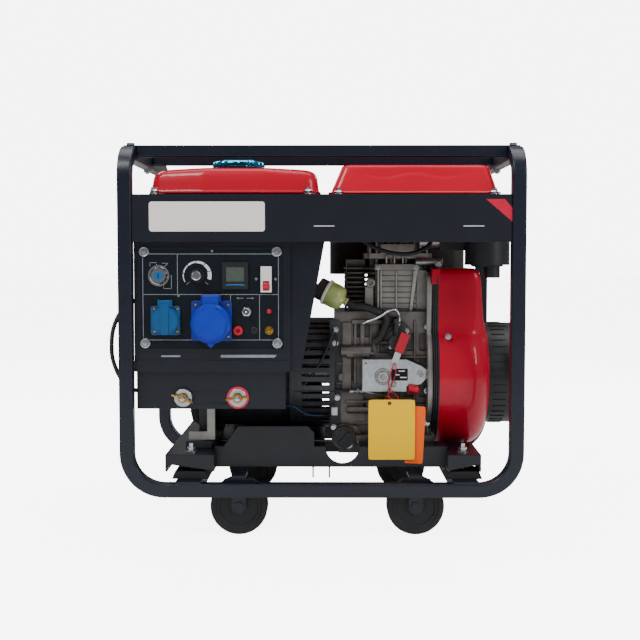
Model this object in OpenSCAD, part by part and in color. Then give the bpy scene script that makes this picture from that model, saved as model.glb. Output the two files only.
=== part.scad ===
// Engine driven welder: an open tube frame on four wheels that carries an air cooled diesel
// engine, a welding alternator, a fuel tank and a front control box with its outlets.
// Millimetres, +Z up, front towards -Y. Every module draws about the middle of the tube frame at
// floor level, and placed() then moves it so that the origin is the middle of the whole footprint.

/* [Frame] */
// Length of the tube frame, left to right
frame_l = 720; // [680:10:900]
// Depth of the tube frame, front to back
frame_w = 480; // [470:10:600]
// Height of the tube frame, without its wheels
frame_h = 628; // [620:4:780]
// Gap between the floor and the underside of the bottom rails
ground_gap = 74; // [68:1:84]
// Outer side of the square frame tube
tube = 25; // [20:1:30]
// Wall of the frame tube
tube_wall = 1.6; // [1.2:0.1:3]
// Centre line radius of the four bottom corners
bottom_bend = 67; // [45:1:90]
// Centre line radius of the bends at the top of the uprights
top_bend = 45; // [35:1:60]

/* [Wheels] */
// Radius of a wheel
wheel_r = 52; // [46:1:54]
// Width of a wheel
wheel_w = 34; // [24:1:40]
// Radius of the axle pins
axle_r = 6; // [4:0.5:8]

/* [Sheet metal] */
// Thickness of the sheet in boxes and panels
sheet = 1.6; // [1:0.1:2.5]
// Height of the front beam that carries the tank and the cover
beam_h = 84; // [70:1:100]
// Width of the control box
box_w = 278; // [270:1:300]
// Height of the control box
box_h = 231; // [225:1:245]
// Depth of the control box
box_d = 94; // [70:1:96]
// Height of the welding outlet box under the control box
weld_box_h = 68; // [60:1:80]

/* [Tank and cover] */
// Width of the fuel tank
tank_w = 300; // [270:1:310]
// Rise of the upper tank shell above its flange
tank_rise = 50.5; // [40:0.5:54]
// Drop of the lower tank shell under its flange
tank_drop = 52; // [40:1:70]
// Radius of the filler cap
cap_r = 49.5; // [38:0.5:52]
// Width of the cover over the engine
cover_w = 306; // [280:1:320]

/* [Engine and alternator] */
// Height of the crankshaft axis above the floor
crank_z = 276; // [272:1:284]
// Outer radius of the alternator
alternator_r = 106; // [96:1:108]
// Radius of the cylinder bore
bore_r = 43; // [36:0.5:45]
// Stroke of the piston
stroke = 70; // [56:1:72]
// Radius of the fan shroud
shroud_r = 142; // [136:1:146]
// Radius of the recoil starter
recoil_r = 98; // [85:1:102]

/* [Hidden] */
$fn = 48;

// Frame planes
x_out = frame_l / 2;
x_in = x_out - tube;
x_mid = x_out - tube / 2;
y_out = frame_w / 2;
y_in = y_out - tube;
y_mid = y_out - tube / 2;
rail_bottom = ground_gap;
rail_top = ground_gap + tube;
rail_mid = ground_gap + tube / 2;
frame_top = ground_gap + frame_h;
top_mid = frame_top - tube / 2;
tube_corner = 3;
touch = 0.3; // gap left between pieces that would rub
seat = 0.05; // running clearance of a shaft in its bore

// Top bars and the bolts that hold them
bar_w = 30;
bar_t = 2.5;
bar_h = 17;
bar_ys = [-165, 20];
m8_r = 4;
m8_hole_r = 4.3;
m8_hex_r = 7.5;
m8_head_h = 5.3;

// Beams between the uprights
beam_top = frame_top - 88.5;
beam_bottom = beam_top - beam_h;
beam_front = y_out - 4;
beam_lip = 24;
rear_beam_h = 40;

// Base: crossmembers, rubber mounts and the bed of engine and alternator
cross_w = 46;
cross_xs = [-238, x_mid - bottom_bend - cross_w / 2 - 0.5];
cross_t = 4;
mount_y = y_in - 28;
mount_h = 14;
mount_d = 54;
bed_bottom = rail_top + cross_t + mount_h;
bed_h = 31;
bed_top = bed_bottom + bed_h;
bed_t = 4;
bed_ws = [88, 60];
bed_rail_h = 38;
bed_rail_ys = [-172, 142];
bed_flange = 60;
mount_bolt_x = 0;
stud_up = 16;

// Wheels
wheel_xs = [-150, 170];
wheel_gap = 2;
fork_t = 3;
fork_w = 26;
wheel_y = y_in - touch - fork_t - wheel_gap - wheel_w / 2;
fork_top = 2 * wheel_r + 2;
tyre_t = 11;
hub_face = 3;

// Engine and alternator axis
crank_y = -10;
engine_x0 = 24;
engine_x1 = 214;
case_front = crank_y - 92;
case_back = crank_y + 88;
case_bottom = bed_top + bed_rail_h - bed_h;
case_top = crank_z + 124;
case_wall = 9;
cylinder_x = 146;
cylinder_top = case_top + 100;
fin_pitch = 9;
fin_t = 2.6;
head_h = 48;
head_top = cylinder_top + head_h;
shaft_r = 20;

// Tank and cover
flange_t = 2;
washer_t = 2;
flange_z = beam_top + washer_t;
tank_x0 = -x_in + 29;
tank_x1 = tank_x0 + tank_w;
tank_depth = 2 * (beam_front - 9);
cap_x = tank_x0 + 148;
cap_y = -75;
neck_r = 30;
cover_x0 = tank_x1 + 18;
cover_x1 = cover_x0 + cover_w;
cover_rise = 54;
cup_r = 8.5;

// Control box
box_x0 = -x_in + 1;
box_x1 = box_x0 + box_w;
box_front = y_out - 18;
box_back = box_front - box_d;
box_top = beam_bottom;
box_bottom = box_top - box_h;
rim_w = 4;
rim_t = 2;
plate_x0 = box_x0 + 12;
plate_x1 = box_x1 - 12;
plate_z1 = box_top - 13;
plate_z0 = plate_z1 - 177;
plate_t = 2;
plate_face = box_front + plate_t;
plate_cx = (plate_x0 + plate_x1) / 2;
plate_cz = (plate_z0 + plate_z1) / 2;

// Places on the control plate, from its left edge and its bottom edge: [x, z]
key_at = [33, 130.5];
knob_at = [101, 131];
meter_at = [168.5, 130.5];
breaker_at = [223.5, 124];
small_socket_at = [44.5, 51];
large_socket_at = [126.5, 50.5];
mode_at = [188.5, 66.5];
red_post_at = [173.5, 33];
black_post_at = [202, 33];
lamp_at = [228.5, 67];
earth_at = [228.5, 33];
corner_ats = [[6.5, 173], [242, 173], [7.5, 10], [243, 10]];
small_screw_ats = [[127.5, 174], [205.8, 124.5], [240, 124.5], [67.5, 95]];

// Component sizes on the plate
key_r = 19;
barrel_r = 8.4;
knob_r = 13;
meter_size = [46, 48];
breaker_size = [19.4, 46];
rocker_size = [10.6, 16];
small_base = 52;
small_lid_r = 25;
small_hinge_w = 26;
large_base = 72;
large_lid_r = 35.5;
large_hinge_w = 35;
large_lid_t = 16.3;
large_lid_drop = 4.5;
hinge_pin_r = 1.6;

// Welding outlet box
weld_x0 = box_x0 + 2;
weld_x1 = box_x1 - 9;
weld_front = box_front - 8;
weld_back = weld_front - 84;
weld_top = box_bottom;
weld_bottom = weld_top - weld_box_h;
stud_xs = [weld_x0 + 83.5, weld_x0 + 181.5];
stud_z = weld_bottom + 20.5;
stud_r = 5;
wing_span = 40;

// Wiring loom beside the control box: a bulge past the left upright
loom_r = 4.5;
loom_reach = 24;

// How far the whole machine reaches past the frame: sets where the origin lies
lid_front = plate_face + 14 + large_lid_t;
recoil_x0 = 317;
recoil_x1 = 384;
reach_left = x_out + loom_reach;
reach_right = max(x_out, recoil_x1);
reach_front = max(y_out, lid_front);
reach_back = y_out;
shift = [(reach_left - reach_right) / 2, (reach_front - reach_back) / 2, 0];

// ---------------------------------------------------------------- helpers

module placed() {
    translate(shift) children();
}

// A rectangle with round corners, centred
module rounded_rect(w, h, r) {
    square([w - 2 * r, h], center = true);
    square([w, h - 2 * r], center = true);
    for (x = [-1, 1], y = [-1, 1])
        translate([x * (w / 2 - r), y * (h / 2 - r)]) circle(r);
}

// Draws its child, made on the XY plane and rising along +Z, as seen on a front wall:
// the child's Y is up and its Z comes towards the viewer from the plane y = -depth
module on_front(x, depth, z) {
    translate([x, -depth, z]) rotate([90, 0, 0]) children();
}

module along_x(x, y, z) {
    translate([x, y, z]) rotate([0, 90, 0]) children();
}

module hex(r, h) {
    cylinder(r = r, h = h, $fn = 6);
}

module box(x, y, z) {
    translate([x[0], y[0], z[0]]) cube([x[1] - x[0], y[1] - y[0], z[1] - z[0]]);
}

// A bolt whose head sits on z = 0, with its nut under the grip
module bolt_and_nut(grip) {
    hex(m8_hex_r, m8_head_h);
    translate([0, 0, -grip - 9]) cylinder(r = m8_r, h = grip + 10);
    translate([0, 0, -grip - 6.5]) hex(m8_hex_r, 6.5);
}

function unit(v) = v / norm(v);
function lerp(a, b, t) = a + (b - a) * t;
// Catmull-Rom curve through points p, with n steps in each span
function spline_point(a, b, c, d, t) = 0.5 * (2 * b + (c - a) * t
    + (2 * a - 5 * b + 4 * c - d) * t * t + (3 * b - a - 3 * c + d) * t * t * t);
function spline(p, n) = [for (i = [0:len(p) - 2], k = [0:n - 1])
    spline_point(p[max(i - 1, 0)], p[i], p[i + 1], p[min(i + 2, len(p) - 1)], k / n),
    p[len(p) - 1]];
function tangent(q, i) = unit(q[min(i + 1, len(q) - 1)] - q[max(i - 1, 0)]);

// A closed round tube along the points q. side is a direction that no part of q runs along.
module sweep_tube(q, r, side, sides = 8) {
    rings = [for (i = [0:len(q) - 1])
        let (t = tangent(q, i), u = unit(cross(side, t)), v = cross(t, u))
        [for (k = [0:sides - 1]) q[i] + r * (cos(360 * k / sides) * u + sin(360 * k / sides) * v)]];
    points = [for (ring = rings, p = ring) p];
    last = len(q) - 1;
    faces = concat(
        [[for (k = [0:sides - 1]) k]],
        [[for (k = [sides - 1:-1:0]) last * sides + k]],
        [for (i = [0:last - 1], k = [0:sides - 1])
            let (n = (k + 1) % sides)
            [i * sides + k, (i + 1) * sides + k, (i + 1) * sides + n, i * sides + n]]);
    polyhedron(points, faces, convexity = 6);
}

// ---------------------------------------------------------------- frame

module hoop_path(side, r, over) {
    for (s = [-1, 1]) {
        translate([s * x_mid, -y_mid, rail_mid + bottom_bend])
            linear_extrude(top_mid - top_bend - rail_mid - bottom_bend) rounded_rect(side, side, r);
        translate([s * (x_mid - bottom_bend), -y_mid, rail_mid + bottom_bend])
            rotate([90, 0, 0]) rotate([0, 0, s > 0 ? -90 : 180])
            rotate_extrude(angle = 90) translate([bottom_bend, 0]) rounded_rect(side, side, r);
        translate([s * x_mid, -y_mid + top_bend, top_mid - top_bend])
            rotate([90, 0, 90]) rotate([0, 0, 90])
            rotate_extrude(angle = 90) translate([top_bend, 0]) rounded_rect(side, side, r);
        translate([s * x_mid, -y_mid + top_bend, top_mid]) rotate([-90, 0, 0])
            linear_extrude(y_mid - top_bend + over) rounded_rect(side, side, r);
    }
    translate([-(x_mid - bottom_bend), -y_mid, rail_mid]) rotate([0, 90, 0])
        linear_extrude(2 * (x_mid - bottom_bend)) rounded_rect(side, side, r);
}

module hoop() {
    hoop_path(tube, tube_corner, 0);
}

// Front half of the tube frame: bottom rail, two uprights and the front of both side rails
module front_hoop() color("#1b2026") {
    difference() {
        hoop_path(tube, tube_corner, 0);
        hoop_path(tube - 2 * tube_wall, tube_corner - tube_wall, 1);
        bar_bolt_holes();
    }
}

module rear_hoop() color("#1b2026") {
    difference() {
        mirror([0, 1, 0]) hoop_path(tube, tube_corner, 0);
        mirror([0, 1, 0]) hoop_path(tube - 2 * tube_wall, tube_corner - tube_wall, 1);
        bar_bolt_holes();
    }
}

module bar_bolt_holes() {
    for (x = [-1, 1], y = bar_ys)
        translate([x * x_mid, y, frame_top - tube - 5]) cylinder(r = m8_hole_r, h = tube + 20);
}

// Two lifting bars: inverted channels whose top plates lie on the side rails
module top_bars() color("#1b2026") {
    difference() {
        for (y = bar_ys) {
            box([-x_out + 2, x_out - 2], [y - bar_w / 2, y + bar_w / 2], [frame_top, frame_top + bar_t]);
            for (s = [-1, 1])
                translate([0, y + s * (bar_w - bar_t) / 2, frame_top - bar_h / 2])
                    cube([2 * (x_in - 1), bar_t, bar_h], center = true);
        }
        bar_bolt_holes();
    }
}

module beam(front, height) {
    box([-x_in, x_in], [-front, -front + sheet], [beam_top - height, beam_top]);
    box([-x_in, x_in], [-front, -front + beam_lip], [beam_top - sheet, beam_top]);
    box([-x_in, x_in], [-front, -front + beam_lip], [beam_top - height, beam_top - height + sheet]);
}

function cup_xs() = [tank_x0 + 10, tank_x1 - 18, cover_x0 + 18, cover_x1 - 14];
cup_y = beam_front - 10;

module cup_holes(r) {
    for (x = cup_xs(), s = [-1, 1])
        translate([x, s * cup_y, beam_top - 20]) cylinder(r = r, h = 40);
}

// Front beam between the uprights, folded from sheet
module front_beam() color("#22252c") {
    difference() {
        beam(beam_front, beam_h);
        cup_holes(3.2);
    }
}

module rear_beam() color("#22252c") {
    difference() {
        mirror([0, 1, 0]) beam(beam_front, rear_beam_h);
        cup_holes(3.2);
    }
}

// Blank plate on the front beam, and two tags that hang on a string from the speed bracket
module plates_and_tags() color("#e4dedb") {
    on_front(-x_in + 133, beam_front, beam_top - 39.5)
        linear_extrude(1) rounded_rect(204, 52.5, 5);
    on_front(tag_at[0], tag_front, tag_at[1]) difference() {
        linear_extrude(0.8) square([85, 111], center = true);
        translate([tag_hole[0], tag_hole[1], -1]) cylinder(r = 1.6, h = 3);
    }
    on_front(tag_at[0] + 43, tag_front - 0.8, tag_at[1] - 10) difference() {
        linear_extrude(0.8) rounded_rect(34, 106, 8);
        translate([-8, 44, -1]) cylinder(r = 1.6, h = 3);
    }
    sweep_tube(spline(string_points, 2), 0.9, [1, 0, 0]);
}

// Bolts of the top bars, and of the engine bed on its rubber mounts
module frame_bolts() color("#c9ccd0") {
    for (x = [-1, 1], y = bar_ys)
        translate([x * x_mid, y, frame_top + bar_t]) bolt_and_nut(tube + bar_t);
    for (x = cross_xs, s = [-1, 1]) translate([x + mount_bolt_x, s * mount_y, bed_top]) {
        cylinder(r = 11, h = 2);
        translate([0, 0, 2]) hex(m8_hex_r, 7);
        translate([0, 0, rail_top - bed_top - 9]) cylinder(r = m8_r, h = bed_top - rail_top + 9 + stud_up);
        translate([0, 0, rail_top - bed_top - 6.5]) hex(m8_hex_r, 6.5);
    }
}

module base_crossmember(x) {
    difference() {
        union() {
            box([x - cross_w / 2, x + cross_w / 2], [-y_out + 1, y_out - 1], [rail_top, rail_top + cross_t]);
            for (s = [-1, 1])
                box([x + s * (cross_w / 2 - 1.5) - 1.5, x + s * (cross_w / 2 - 1.5) + 1.5],
                    [-y_in + touch, y_in - touch], [rail_top - 17, rail_top + 1]);
        }
        mount_holes();
    }
}

module mount_holes() {
    for (x = cross_xs, s = [-1, 1])
        translate([x + mount_bolt_x, s * mount_y, rail_top - 10]) cylinder(r = m8_hole_r, h = 90);
}

// Two crossmembers welded over the bottom rails
module base_crossmembers() color("#1b2026") {
    for (x = cross_xs) base_crossmember(x);
}

// Four rubber blocks under the bed, wider at the foot
module rubber_mounts() color("#15171a") {
    difference() {
        for (x = cross_xs, s = [-1, 1])
            translate([x, s * mount_y + mount_d / 2, rail_top + cross_t]) rotate([90, 0, 0])
                linear_extrude(mount_d) polygon([[-33, 0], [33, 0], [27, mount_h], [-27, mount_h]]);
        mount_holes();
    }
}

// Bed of engine and alternator: two cross channels, two rails, the battery tray and its lip
module engine_bed() color("#1b2026") {
    y0 = mount_y + 30;
    rail_x = [cross_xs[0] + bed_ws[0] / 2 - bed_t, cross_xs[1] - bed_ws[1] / 2 + bed_t];
    difference() {
        union() {
            for (i = [0, 1]) {
                x = cross_xs[i];
                w = bed_ws[i];
                box([x - w / 2, x + w / 2], [-y0, y0], [bed_top - bed_t, bed_top]);
                for (s = [-1, 1])
                    translate([x + s * (w - bed_t) / 2, 0, bed_bottom + bed_h / 2])
                        cube([bed_t, 2 * y0, bed_h], center = true);
                bed_end_plate(x, -y0, w);
            }
            for (y = bed_rail_ys) {
                inward = y < 0 ? 1 : -1;
                box(rail_x, [min(y, y + inward * bed_t), max(y, y + inward * bed_t)],
                    [case_bottom - bed_rail_h, case_bottom]);
                box(rail_x, [min(y, y + inward * bed_flange), max(y, y + inward * bed_flange)],
                    [case_bottom - bed_t, case_bottom]);
            }
            battery_tray(rail_x[0]);
            bed_upstand(rail_x[0]);
            for (x = [-16, 14])
                box([x - 1.5, x + 1.5], [bed_rail_ys[0], bed_rail_ys[0] + bed_t],
                    [case_bottom - bed_rail_h - 20, case_bottom - bed_rail_h + 1]);
        }
        mount_holes();
        translate([engine_x0 + 14, bed_rail_ys[0] - 1, case_bottom]) rotate([-90, 0, 0])
            cylinder(r = 31, h = bed_flange + 2);
        along_x(shroud_x0 - 4, crank_y, crank_z) cylinder(r = shroud_r + 4, h = bed_ws[1] + 60);
    }
}

// Guard plate that rises from the front rail below the alternator
module bed_upstand(x0) {
    translate([0, bed_rail_ys[0] + bed_t, 0]) rotate([90, 0, 0]) linear_extrude(bed_t)
        polygon([[x0 + 16, case_bottom - 1], [x0 + 44, case_bottom + 38], [-26, case_bottom + 38],
            [-14, case_bottom + 26], [-14, case_bottom - 1]]);
}

// Front end of a cross channel, deeper towards the rails
module bed_end_plate(x, y, w) {
    s = x < 0 ? 1 : -1;
    translate([x, y + bed_t, 0]) rotate([90, 0, 0]) linear_extrude(bed_t)
        polygon([[-s * w / 2, bed_top], [s * w / 2, bed_top],
            [s * w / 2, bed_bottom + 1], [-s * w / 2, bed_top - 17]]);
}

tray_x1 = 6;
tray_y0 = -108;
tray_y1 = y_in - 4;
tray_z = case_bottom;

module battery_tray(x0) {
    box([x0, tray_x1], [tray_y0, tray_y1], [tray_z, tray_z + 2]);
    box([x0, tray_x1], [tray_y1 - 2, tray_y1], [tray_z, tray_z + 16]);
    box([x0, x0 + 2], [case_back + 20, tray_y1], [tray_z, tray_z + 16]);
}

// ---------------------------------------------------------------- wheels

module fork(x, s) {
    translate([x, s * wheel_y, 0]) {
        difference() {
            union() {
                for (k = [-1, 1]) {
                    y = k * (wheel_w / 2 + wheel_gap + fork_t / 2);
                    translate([0, y, (wheel_r + fork_top) / 2])
                        cube([fork_w, fork_t, fork_top - wheel_r], center = true);
                    translate([0, y + fork_t / 2, wheel_r]) rotate([90, 0, 0])
                        cylinder(r = fork_w / 2, h = fork_t);
                }
                translate([0, 0, fork_top + fork_t / 2])
                    cube([fork_w, wheel_w + 2 * (wheel_gap + fork_t), fork_t], center = true);
                translate([0, s * (wheel_w / 2 + wheel_gap + fork_t / 2), fork_top - 14])
                    cube([fork_w + 26, fork_t, 24], center = true);
            }
            translate([0, wheel_w, wheel_r]) rotate([90, 0, 0])
                cylinder(r = axle_r + 0.2, h = 2 * wheel_w);
        }
        axle(s);
    }
}

module axle(s) {
    half = wheel_w / 2 + wheel_gap + fork_t;
    translate([0, s * half, wheel_r]) rotate([s * 90, 0, 0]) {
        cylinder(r = axle_r, h = 2 * half);
        translate([0, 0, -2.5]) cylinder(r = axle_r + 3, h = 2.3);
        translate([0, 0, 2 * half + 0.2]) hex(axle_r + 4, 5);
        translate([0, 0, 2 * half]) cylinder(r = axle_r, h = 8);
        translate([0, 0, -2.5]) cylinder(r = axle_r, h = 3);
    }
}

// Four forks welded inside the bottom rails, each with its axle pin
module axle_brackets() color("#1b2026") {
    for (x = wheel_xs, s = [-1, 1]) fork(x, s);
}

// A solid wheel about the Y axis: tyre and hub
module wheel(x, s) color("#17191c") {
    translate([x, s * wheel_y, wheel_r]) rotate([90, 0, 0]) {
        rotate_extrude($fn = 96) translate([0, -wheel_w / 2]) polygon([
            [wheel_r - tyre_t, 0], [wheel_r - 3, 0], [wheel_r, 4], [wheel_r, wheel_w - 4],
            [wheel_r - 3, wheel_w], [wheel_r - tyre_t, wheel_w]]);
        rotate_extrude($fn = 96) translate([0, -wheel_w / 2]) polygon([
            [axle_r + seat, 0], [14, 0], [14, hub_face], [wheel_r - tyre_t - 6, hub_face],
            [wheel_r - tyre_t - 6, 1], [wheel_r - tyre_t, 1], [wheel_r - tyre_t, wheel_w - 1],
            [wheel_r - tyre_t - 6, wheel_w - 1], [wheel_r - tyre_t - 6, wheel_w - hub_face],
            [14, wheel_w - hub_face], [14, wheel_w], [axle_r + seat, wheel_w]]);
    }
}

// ---------------------------------------------------------------- tank and cover

// Pressed pan with leaning walls, rising from the plane z = 0
module pan(w, d, rise, lean, r) {
    hull() {
        for (x = [-1, 1], y = [-1, 1]) {
            translate([x * (w / 2 - r), y * (d / 2 - r), 0]) cylinder(r = r, h = 1, $fn = 32);
            translate([x * (w / 2 - r - lean), y * (d / 2 - r - lean), rise - 10])
                sphere(r = 10, $fn = 24);
        }
    }
}

tank_cx = (tank_x0 + tank_x1) / 2;
tank_body_w = tank_w - 6;
tank_body_d = tank_depth - 42;

module tank_flange(z) {
    difference() {
        translate([tank_cx, 0, z]) linear_extrude(flange_t) rounded_rect(tank_w, tank_depth, 14);
        translate([tank_cx, 0, z - 1]) linear_extrude(flange_t + 2)
            rounded_rect(tank_body_w - 8, tank_body_d - 8, 24);
        cup_holes(3.4);
    }
}

// Upper half of the pressed steel tank, with the filler neck
module tank_upper_shell() color("#c4122f") {
    tank_flange(flange_z + flange_t);
    difference() {
        union() {
            translate([tank_cx, 0, flange_z + flange_t])
                pan(tank_body_w, tank_body_d, tank_rise - flange_t, 10, 26);
            translate([cap_x, cap_y, flange_z + tank_rise - 6]) cylinder(r = neck_r, h = 9);
        }
        translate([tank_cx, 0, flange_z + flange_t - 1])
            pan(tank_body_w - 6, tank_body_d - 6, tank_rise - flange_t - 2, 10, 24);
        translate([cap_x, cap_y, flange_z]) cylinder(r = neck_r - 3, h = tank_rise + 20);
    }
}

module tank_lower_shell() color("#c4122f") {
    tank_flange(flange_z);
    difference() {
        translate([tank_cx, 0, flange_z + flange_t]) mirror([0, 0, 1])
            pan(tank_body_w, tank_body_d, tank_drop, 14, 26);
        translate([tank_cx, 0, flange_z + flange_t + 1]) mirror([0, 0, 1])
            pan(tank_body_w - 6, tank_body_d - 6, tank_drop - 2, 14, 24);
    }
}

// Quarter turn filler cap with grip flutes
module fuel_cap() color("#1f9fd0") {
    z0 = flange_z + tank_rise + 3 + touch;
    difference() {
        union() {
            translate([cap_x, cap_y, z0 + 3]) cylinder(r = cap_r, h = 13);
            translate([cap_x, cap_y, z0]) cylinder(r = cap_r - 4, h = 4);
            translate([cap_x, cap_y, z0 + 15]) cylinder(r = cap_r - 9, h = 3);
        }
        for (a = [0:15:345])
            translate([cap_x, cap_y, z0 + 3]) rotate([0, 0, a]) translate([cap_r + 1.5, 0, -1])
                cylinder(r = 3.5, h = 20);
    }
}

// Screws with domed cup washers: tank and cover on the beams, and the corners of the control plate
module cup_bolts() color("#cfd2d6") {
    for (x = cup_xs(), s = [-1, 1]) {
        on_tank = x < tank_x1;
        z = on_tank ? flange_z + 2 * flange_t : flange_z + flange_t;
        translate([x, s * cup_y, z]) {
            cylinder(r1 = cup_r, r2 = cup_r - 2, h = 2.5);
            translate([0, 0, 2]) hex(5.8, 4.5);
            translate([0, 0, beam_top - z - 12]) cylinder(r = 3, h = z - beam_top + 14);
            translate([0, 0, beam_top - z - sheet - 5]) hex(5.8, 5);
        }
        translate([x, s * cup_y, beam_top]) difference() {
            cylinder(r = cup_r, h = washer_t);
            translate([0, 0, -1]) cylinder(r = 3.4, h = washer_t + 2);
        }
    }
    for (p = corner_ats)
        on_front(plate_x0 + p[0], plate_face, plate_z0 + p[1]) {
            difference() {
                cylinder(r1 = 9.2, r2 = 7.6, h = 2.4);
                translate([0, 0, 0.8]) cylinder(r1 = 4.6, r2 = 6.8, h = 2);
            }
            cylinder(r = 4.4, h = 2.6);
            translate([0, 0, -8]) cylinder(r = 2, h = 9);
        }
    for (p = small_screw_ats)
        on_front(plate_x0 + p[0], plate_face, plate_z0 + p[1]) {
            cylinder(r = 2.4, h = 1.3);
            translate([0, 0, -5]) cylinder(r = 1.3, h = 6);
        }
}

cover_cx = (cover_x0 + cover_x1) / 2;

// Pressed cover over the engine, open underneath
module engine_cover() color("#c8203a") {
    difference() {
        union() {
            translate([cover_cx, 0, flange_z]) linear_extrude(flange_t)
                rounded_rect(cover_w, tank_depth, 10);
            translate([cover_cx, 0, flange_z])
                pan(cover_w - 14, tank_depth - 46, cover_rise, 14, 16);
        }
        translate([cover_cx, 0, flange_z - 1])
            pan(cover_w - 19, tank_depth - 51, cover_rise - 1, 14, 14);
        cup_holes(3.4);
    }
}

// ---------------------------------------------------------------- control box

// A hole through the control plate
module plate_hole(at, r) {
    on_front(plate_x0 + at[0], plate_face - 6, plate_z0 + at[1]) cylinder(r = r, h = 12);
}

module plate_window(at, w, h) {
    on_front(plate_x0 + at[0], plate_face - 6, plate_z0 + at[1])
        linear_extrude(12) square([w, h], center = true);
}

// Housing of the controls, folded from sheet, with a rim round the plate and a deflector wing
module control_box() color("#1a1e24") {
    difference() {
        union() {
            box([box_x0, box_x1], [-box_front, -box_back], [box_bottom, box_top]);
            box([plate_x0 - rim_w, plate_x1 + rim_w], [-box_front - rim_t, -box_front + 1],
                [plate_z0 - rim_w, plate_z1 + rim_w]);
            box([box_x0, box_x1], [-box_front - rim_t, -box_front + 1], [box_bottom, box_bottom + 20]);
            wing_plate();
        }
        box([box_x0 + sheet, box_x1 - sheet], [-box_front + sheet, -box_back - sheet],
            [box_bottom + sheet, box_top - sheet]);
        box([plate_x0, plate_x1], [-box_front - rim_t - 1, -box_front], [plate_z0, plate_z1]);
        box([plate_x0 + 12, plate_x1 - 12], [-box_front - 1, -box_front + 5], [plate_z0 + 16, plate_z1 - 20]);
        for (z = [-1, 1])
            translate([weld_x0 + 60, -(box_front + box_back) / 2, box_bottom - 1]) cylinder(r = 9, h = 6);
        loom_hole(box_x0, loom_points[0]);
        for (p = concat(corner_ats, small_screw_ats)) plate_hole(p, 2.3);
    }
}

wing_x1 = [box_x1 + 61, box_x1 + 19];

module wing_plate() {
    translate([0, -box_front + 7 + sheet, 0]) rotate([90, 0, 0]) linear_extrude(sheet)
        polygon([[box_x1 - 1, box_bottom], [wing_x1[1], box_bottom], [wing_x1[0], box_top], [box_x1 - 1, box_top]]);
}

// Printed plate that carries the controls
module control_plate() color("#14181e") {
    difference() {
        box([plate_x0 + touch, plate_x1 - touch], [-plate_face, -box_front], [plate_z0 + touch, plate_z1 - touch]);
        plate_hole(key_at, 11);
        plate_hole(knob_at, 5);
        plate_window(meter_at, 41, 41);
        plate_window(breaker_at, 17, 42);
        plate_hole(small_socket_at, 20);
        plate_hole(large_socket_at, 28);
        plate_hole(mode_at, 6);
        for (p = [red_post_at, black_post_at, earth_at]) plate_hole(p, 4);
        plate_hole(lamp_at, 3);
        for (p = corner_ats) plate_hole(p, 2.2);
        for (p = small_screw_ats) plate_hole(p, 1.5);
    }
}

module on_plate(at, out = 0) {
    on_front(plate_x0 + at[0], plate_face + out, plate_z0 + at[1]) children();
}

// Ring and housing of the starter key switch
module key_switch() color("#cfcfcf") {
    on_plate(key_at) difference() {
        union() {
            cylinder(r = key_r, h = 4);
            translate([0, 0, 4]) cylinder(r1 = key_r - 3, r2 = key_r - 6, h = 4);
            translate([0, 0, -34]) cylinder(r = 10.8, h = 35);
        }
        translate([0, 0, -20]) cylinder(r = barrel_r + seat, h = 40);
    }
}

// Turning lock barrel with its key slot
module key_barrel() color("#1f6fa8") {
    on_plate(key_at) difference() {
        translate([0, 0, -19]) cylinder(r = barrel_r, h = 28.5);
        translate([0, 0, 8]) cube([1.6, 9, 6], center = true);
    }
}

// Current adjuster: dark skirt, metal cap and a pointer, on the shaft of the potentiometer
module current_knob() color("#23262b") {
    on_plate(knob_at) {
        translate([0, 0, 0.5]) cylinder(r = knob_r, h = 3);
        translate([0, 0, 3]) cylinder(r1 = 10.4, r2 = 9, h = 13);
        rotate([0, 0, -45]) translate([0, -10.6, 9.5]) cube([1.8, 4.4, 10], center = true);
        translate([0, 0, -14]) cylinder(r = 3, h = 16);
    }
}

// Framed digital meter with a recessed window
module volt_meter() color("#20262b") {
    on_plate(meter_at) difference() {
        union() {
            linear_extrude(4.5) rounded_rect(meter_size[0], meter_size[1], 3);
            translate([0, 0, -24]) linear_extrude(25) square([40, 40], center = true);
        }
        translate([0, 2.5, 3]) linear_extrude(3) square([33, 27], center = true);
    }
}

module breaker() color("#e6e2dc") {
    on_plate(breaker_at) difference() {
        union() {
            translate([0, 0, 3]) cube([breaker_size[0], breaker_size[1], 6], center = true);
            translate([0, 0, -20]) cube([16.4, 41, 42], center = true);
        }
        translate([0, rocker_z, 0]) cube([rocker_size[0] + 0.8, rocker_size[1] + 0.8, 20], center = true);
    }
}

rocker_z = -11.5;
rocker_pivot_out = 1.5;

// Red trip handle that rocks about a pin across the breaker
module breaker_rocker() color("#c31f33") {
    on_plate(breaker_at) translate([0, rocker_z, 0]) intersection() {
        cube([rocker_size[0], rocker_size[1], 30], center = true);
        translate([-rocker_size[0] / 2, 0, rocker_pivot_out]) rotate([0, 90, 0])
            cylinder(r = 7.4, h = rocker_size[0]);
    }
}

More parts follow.
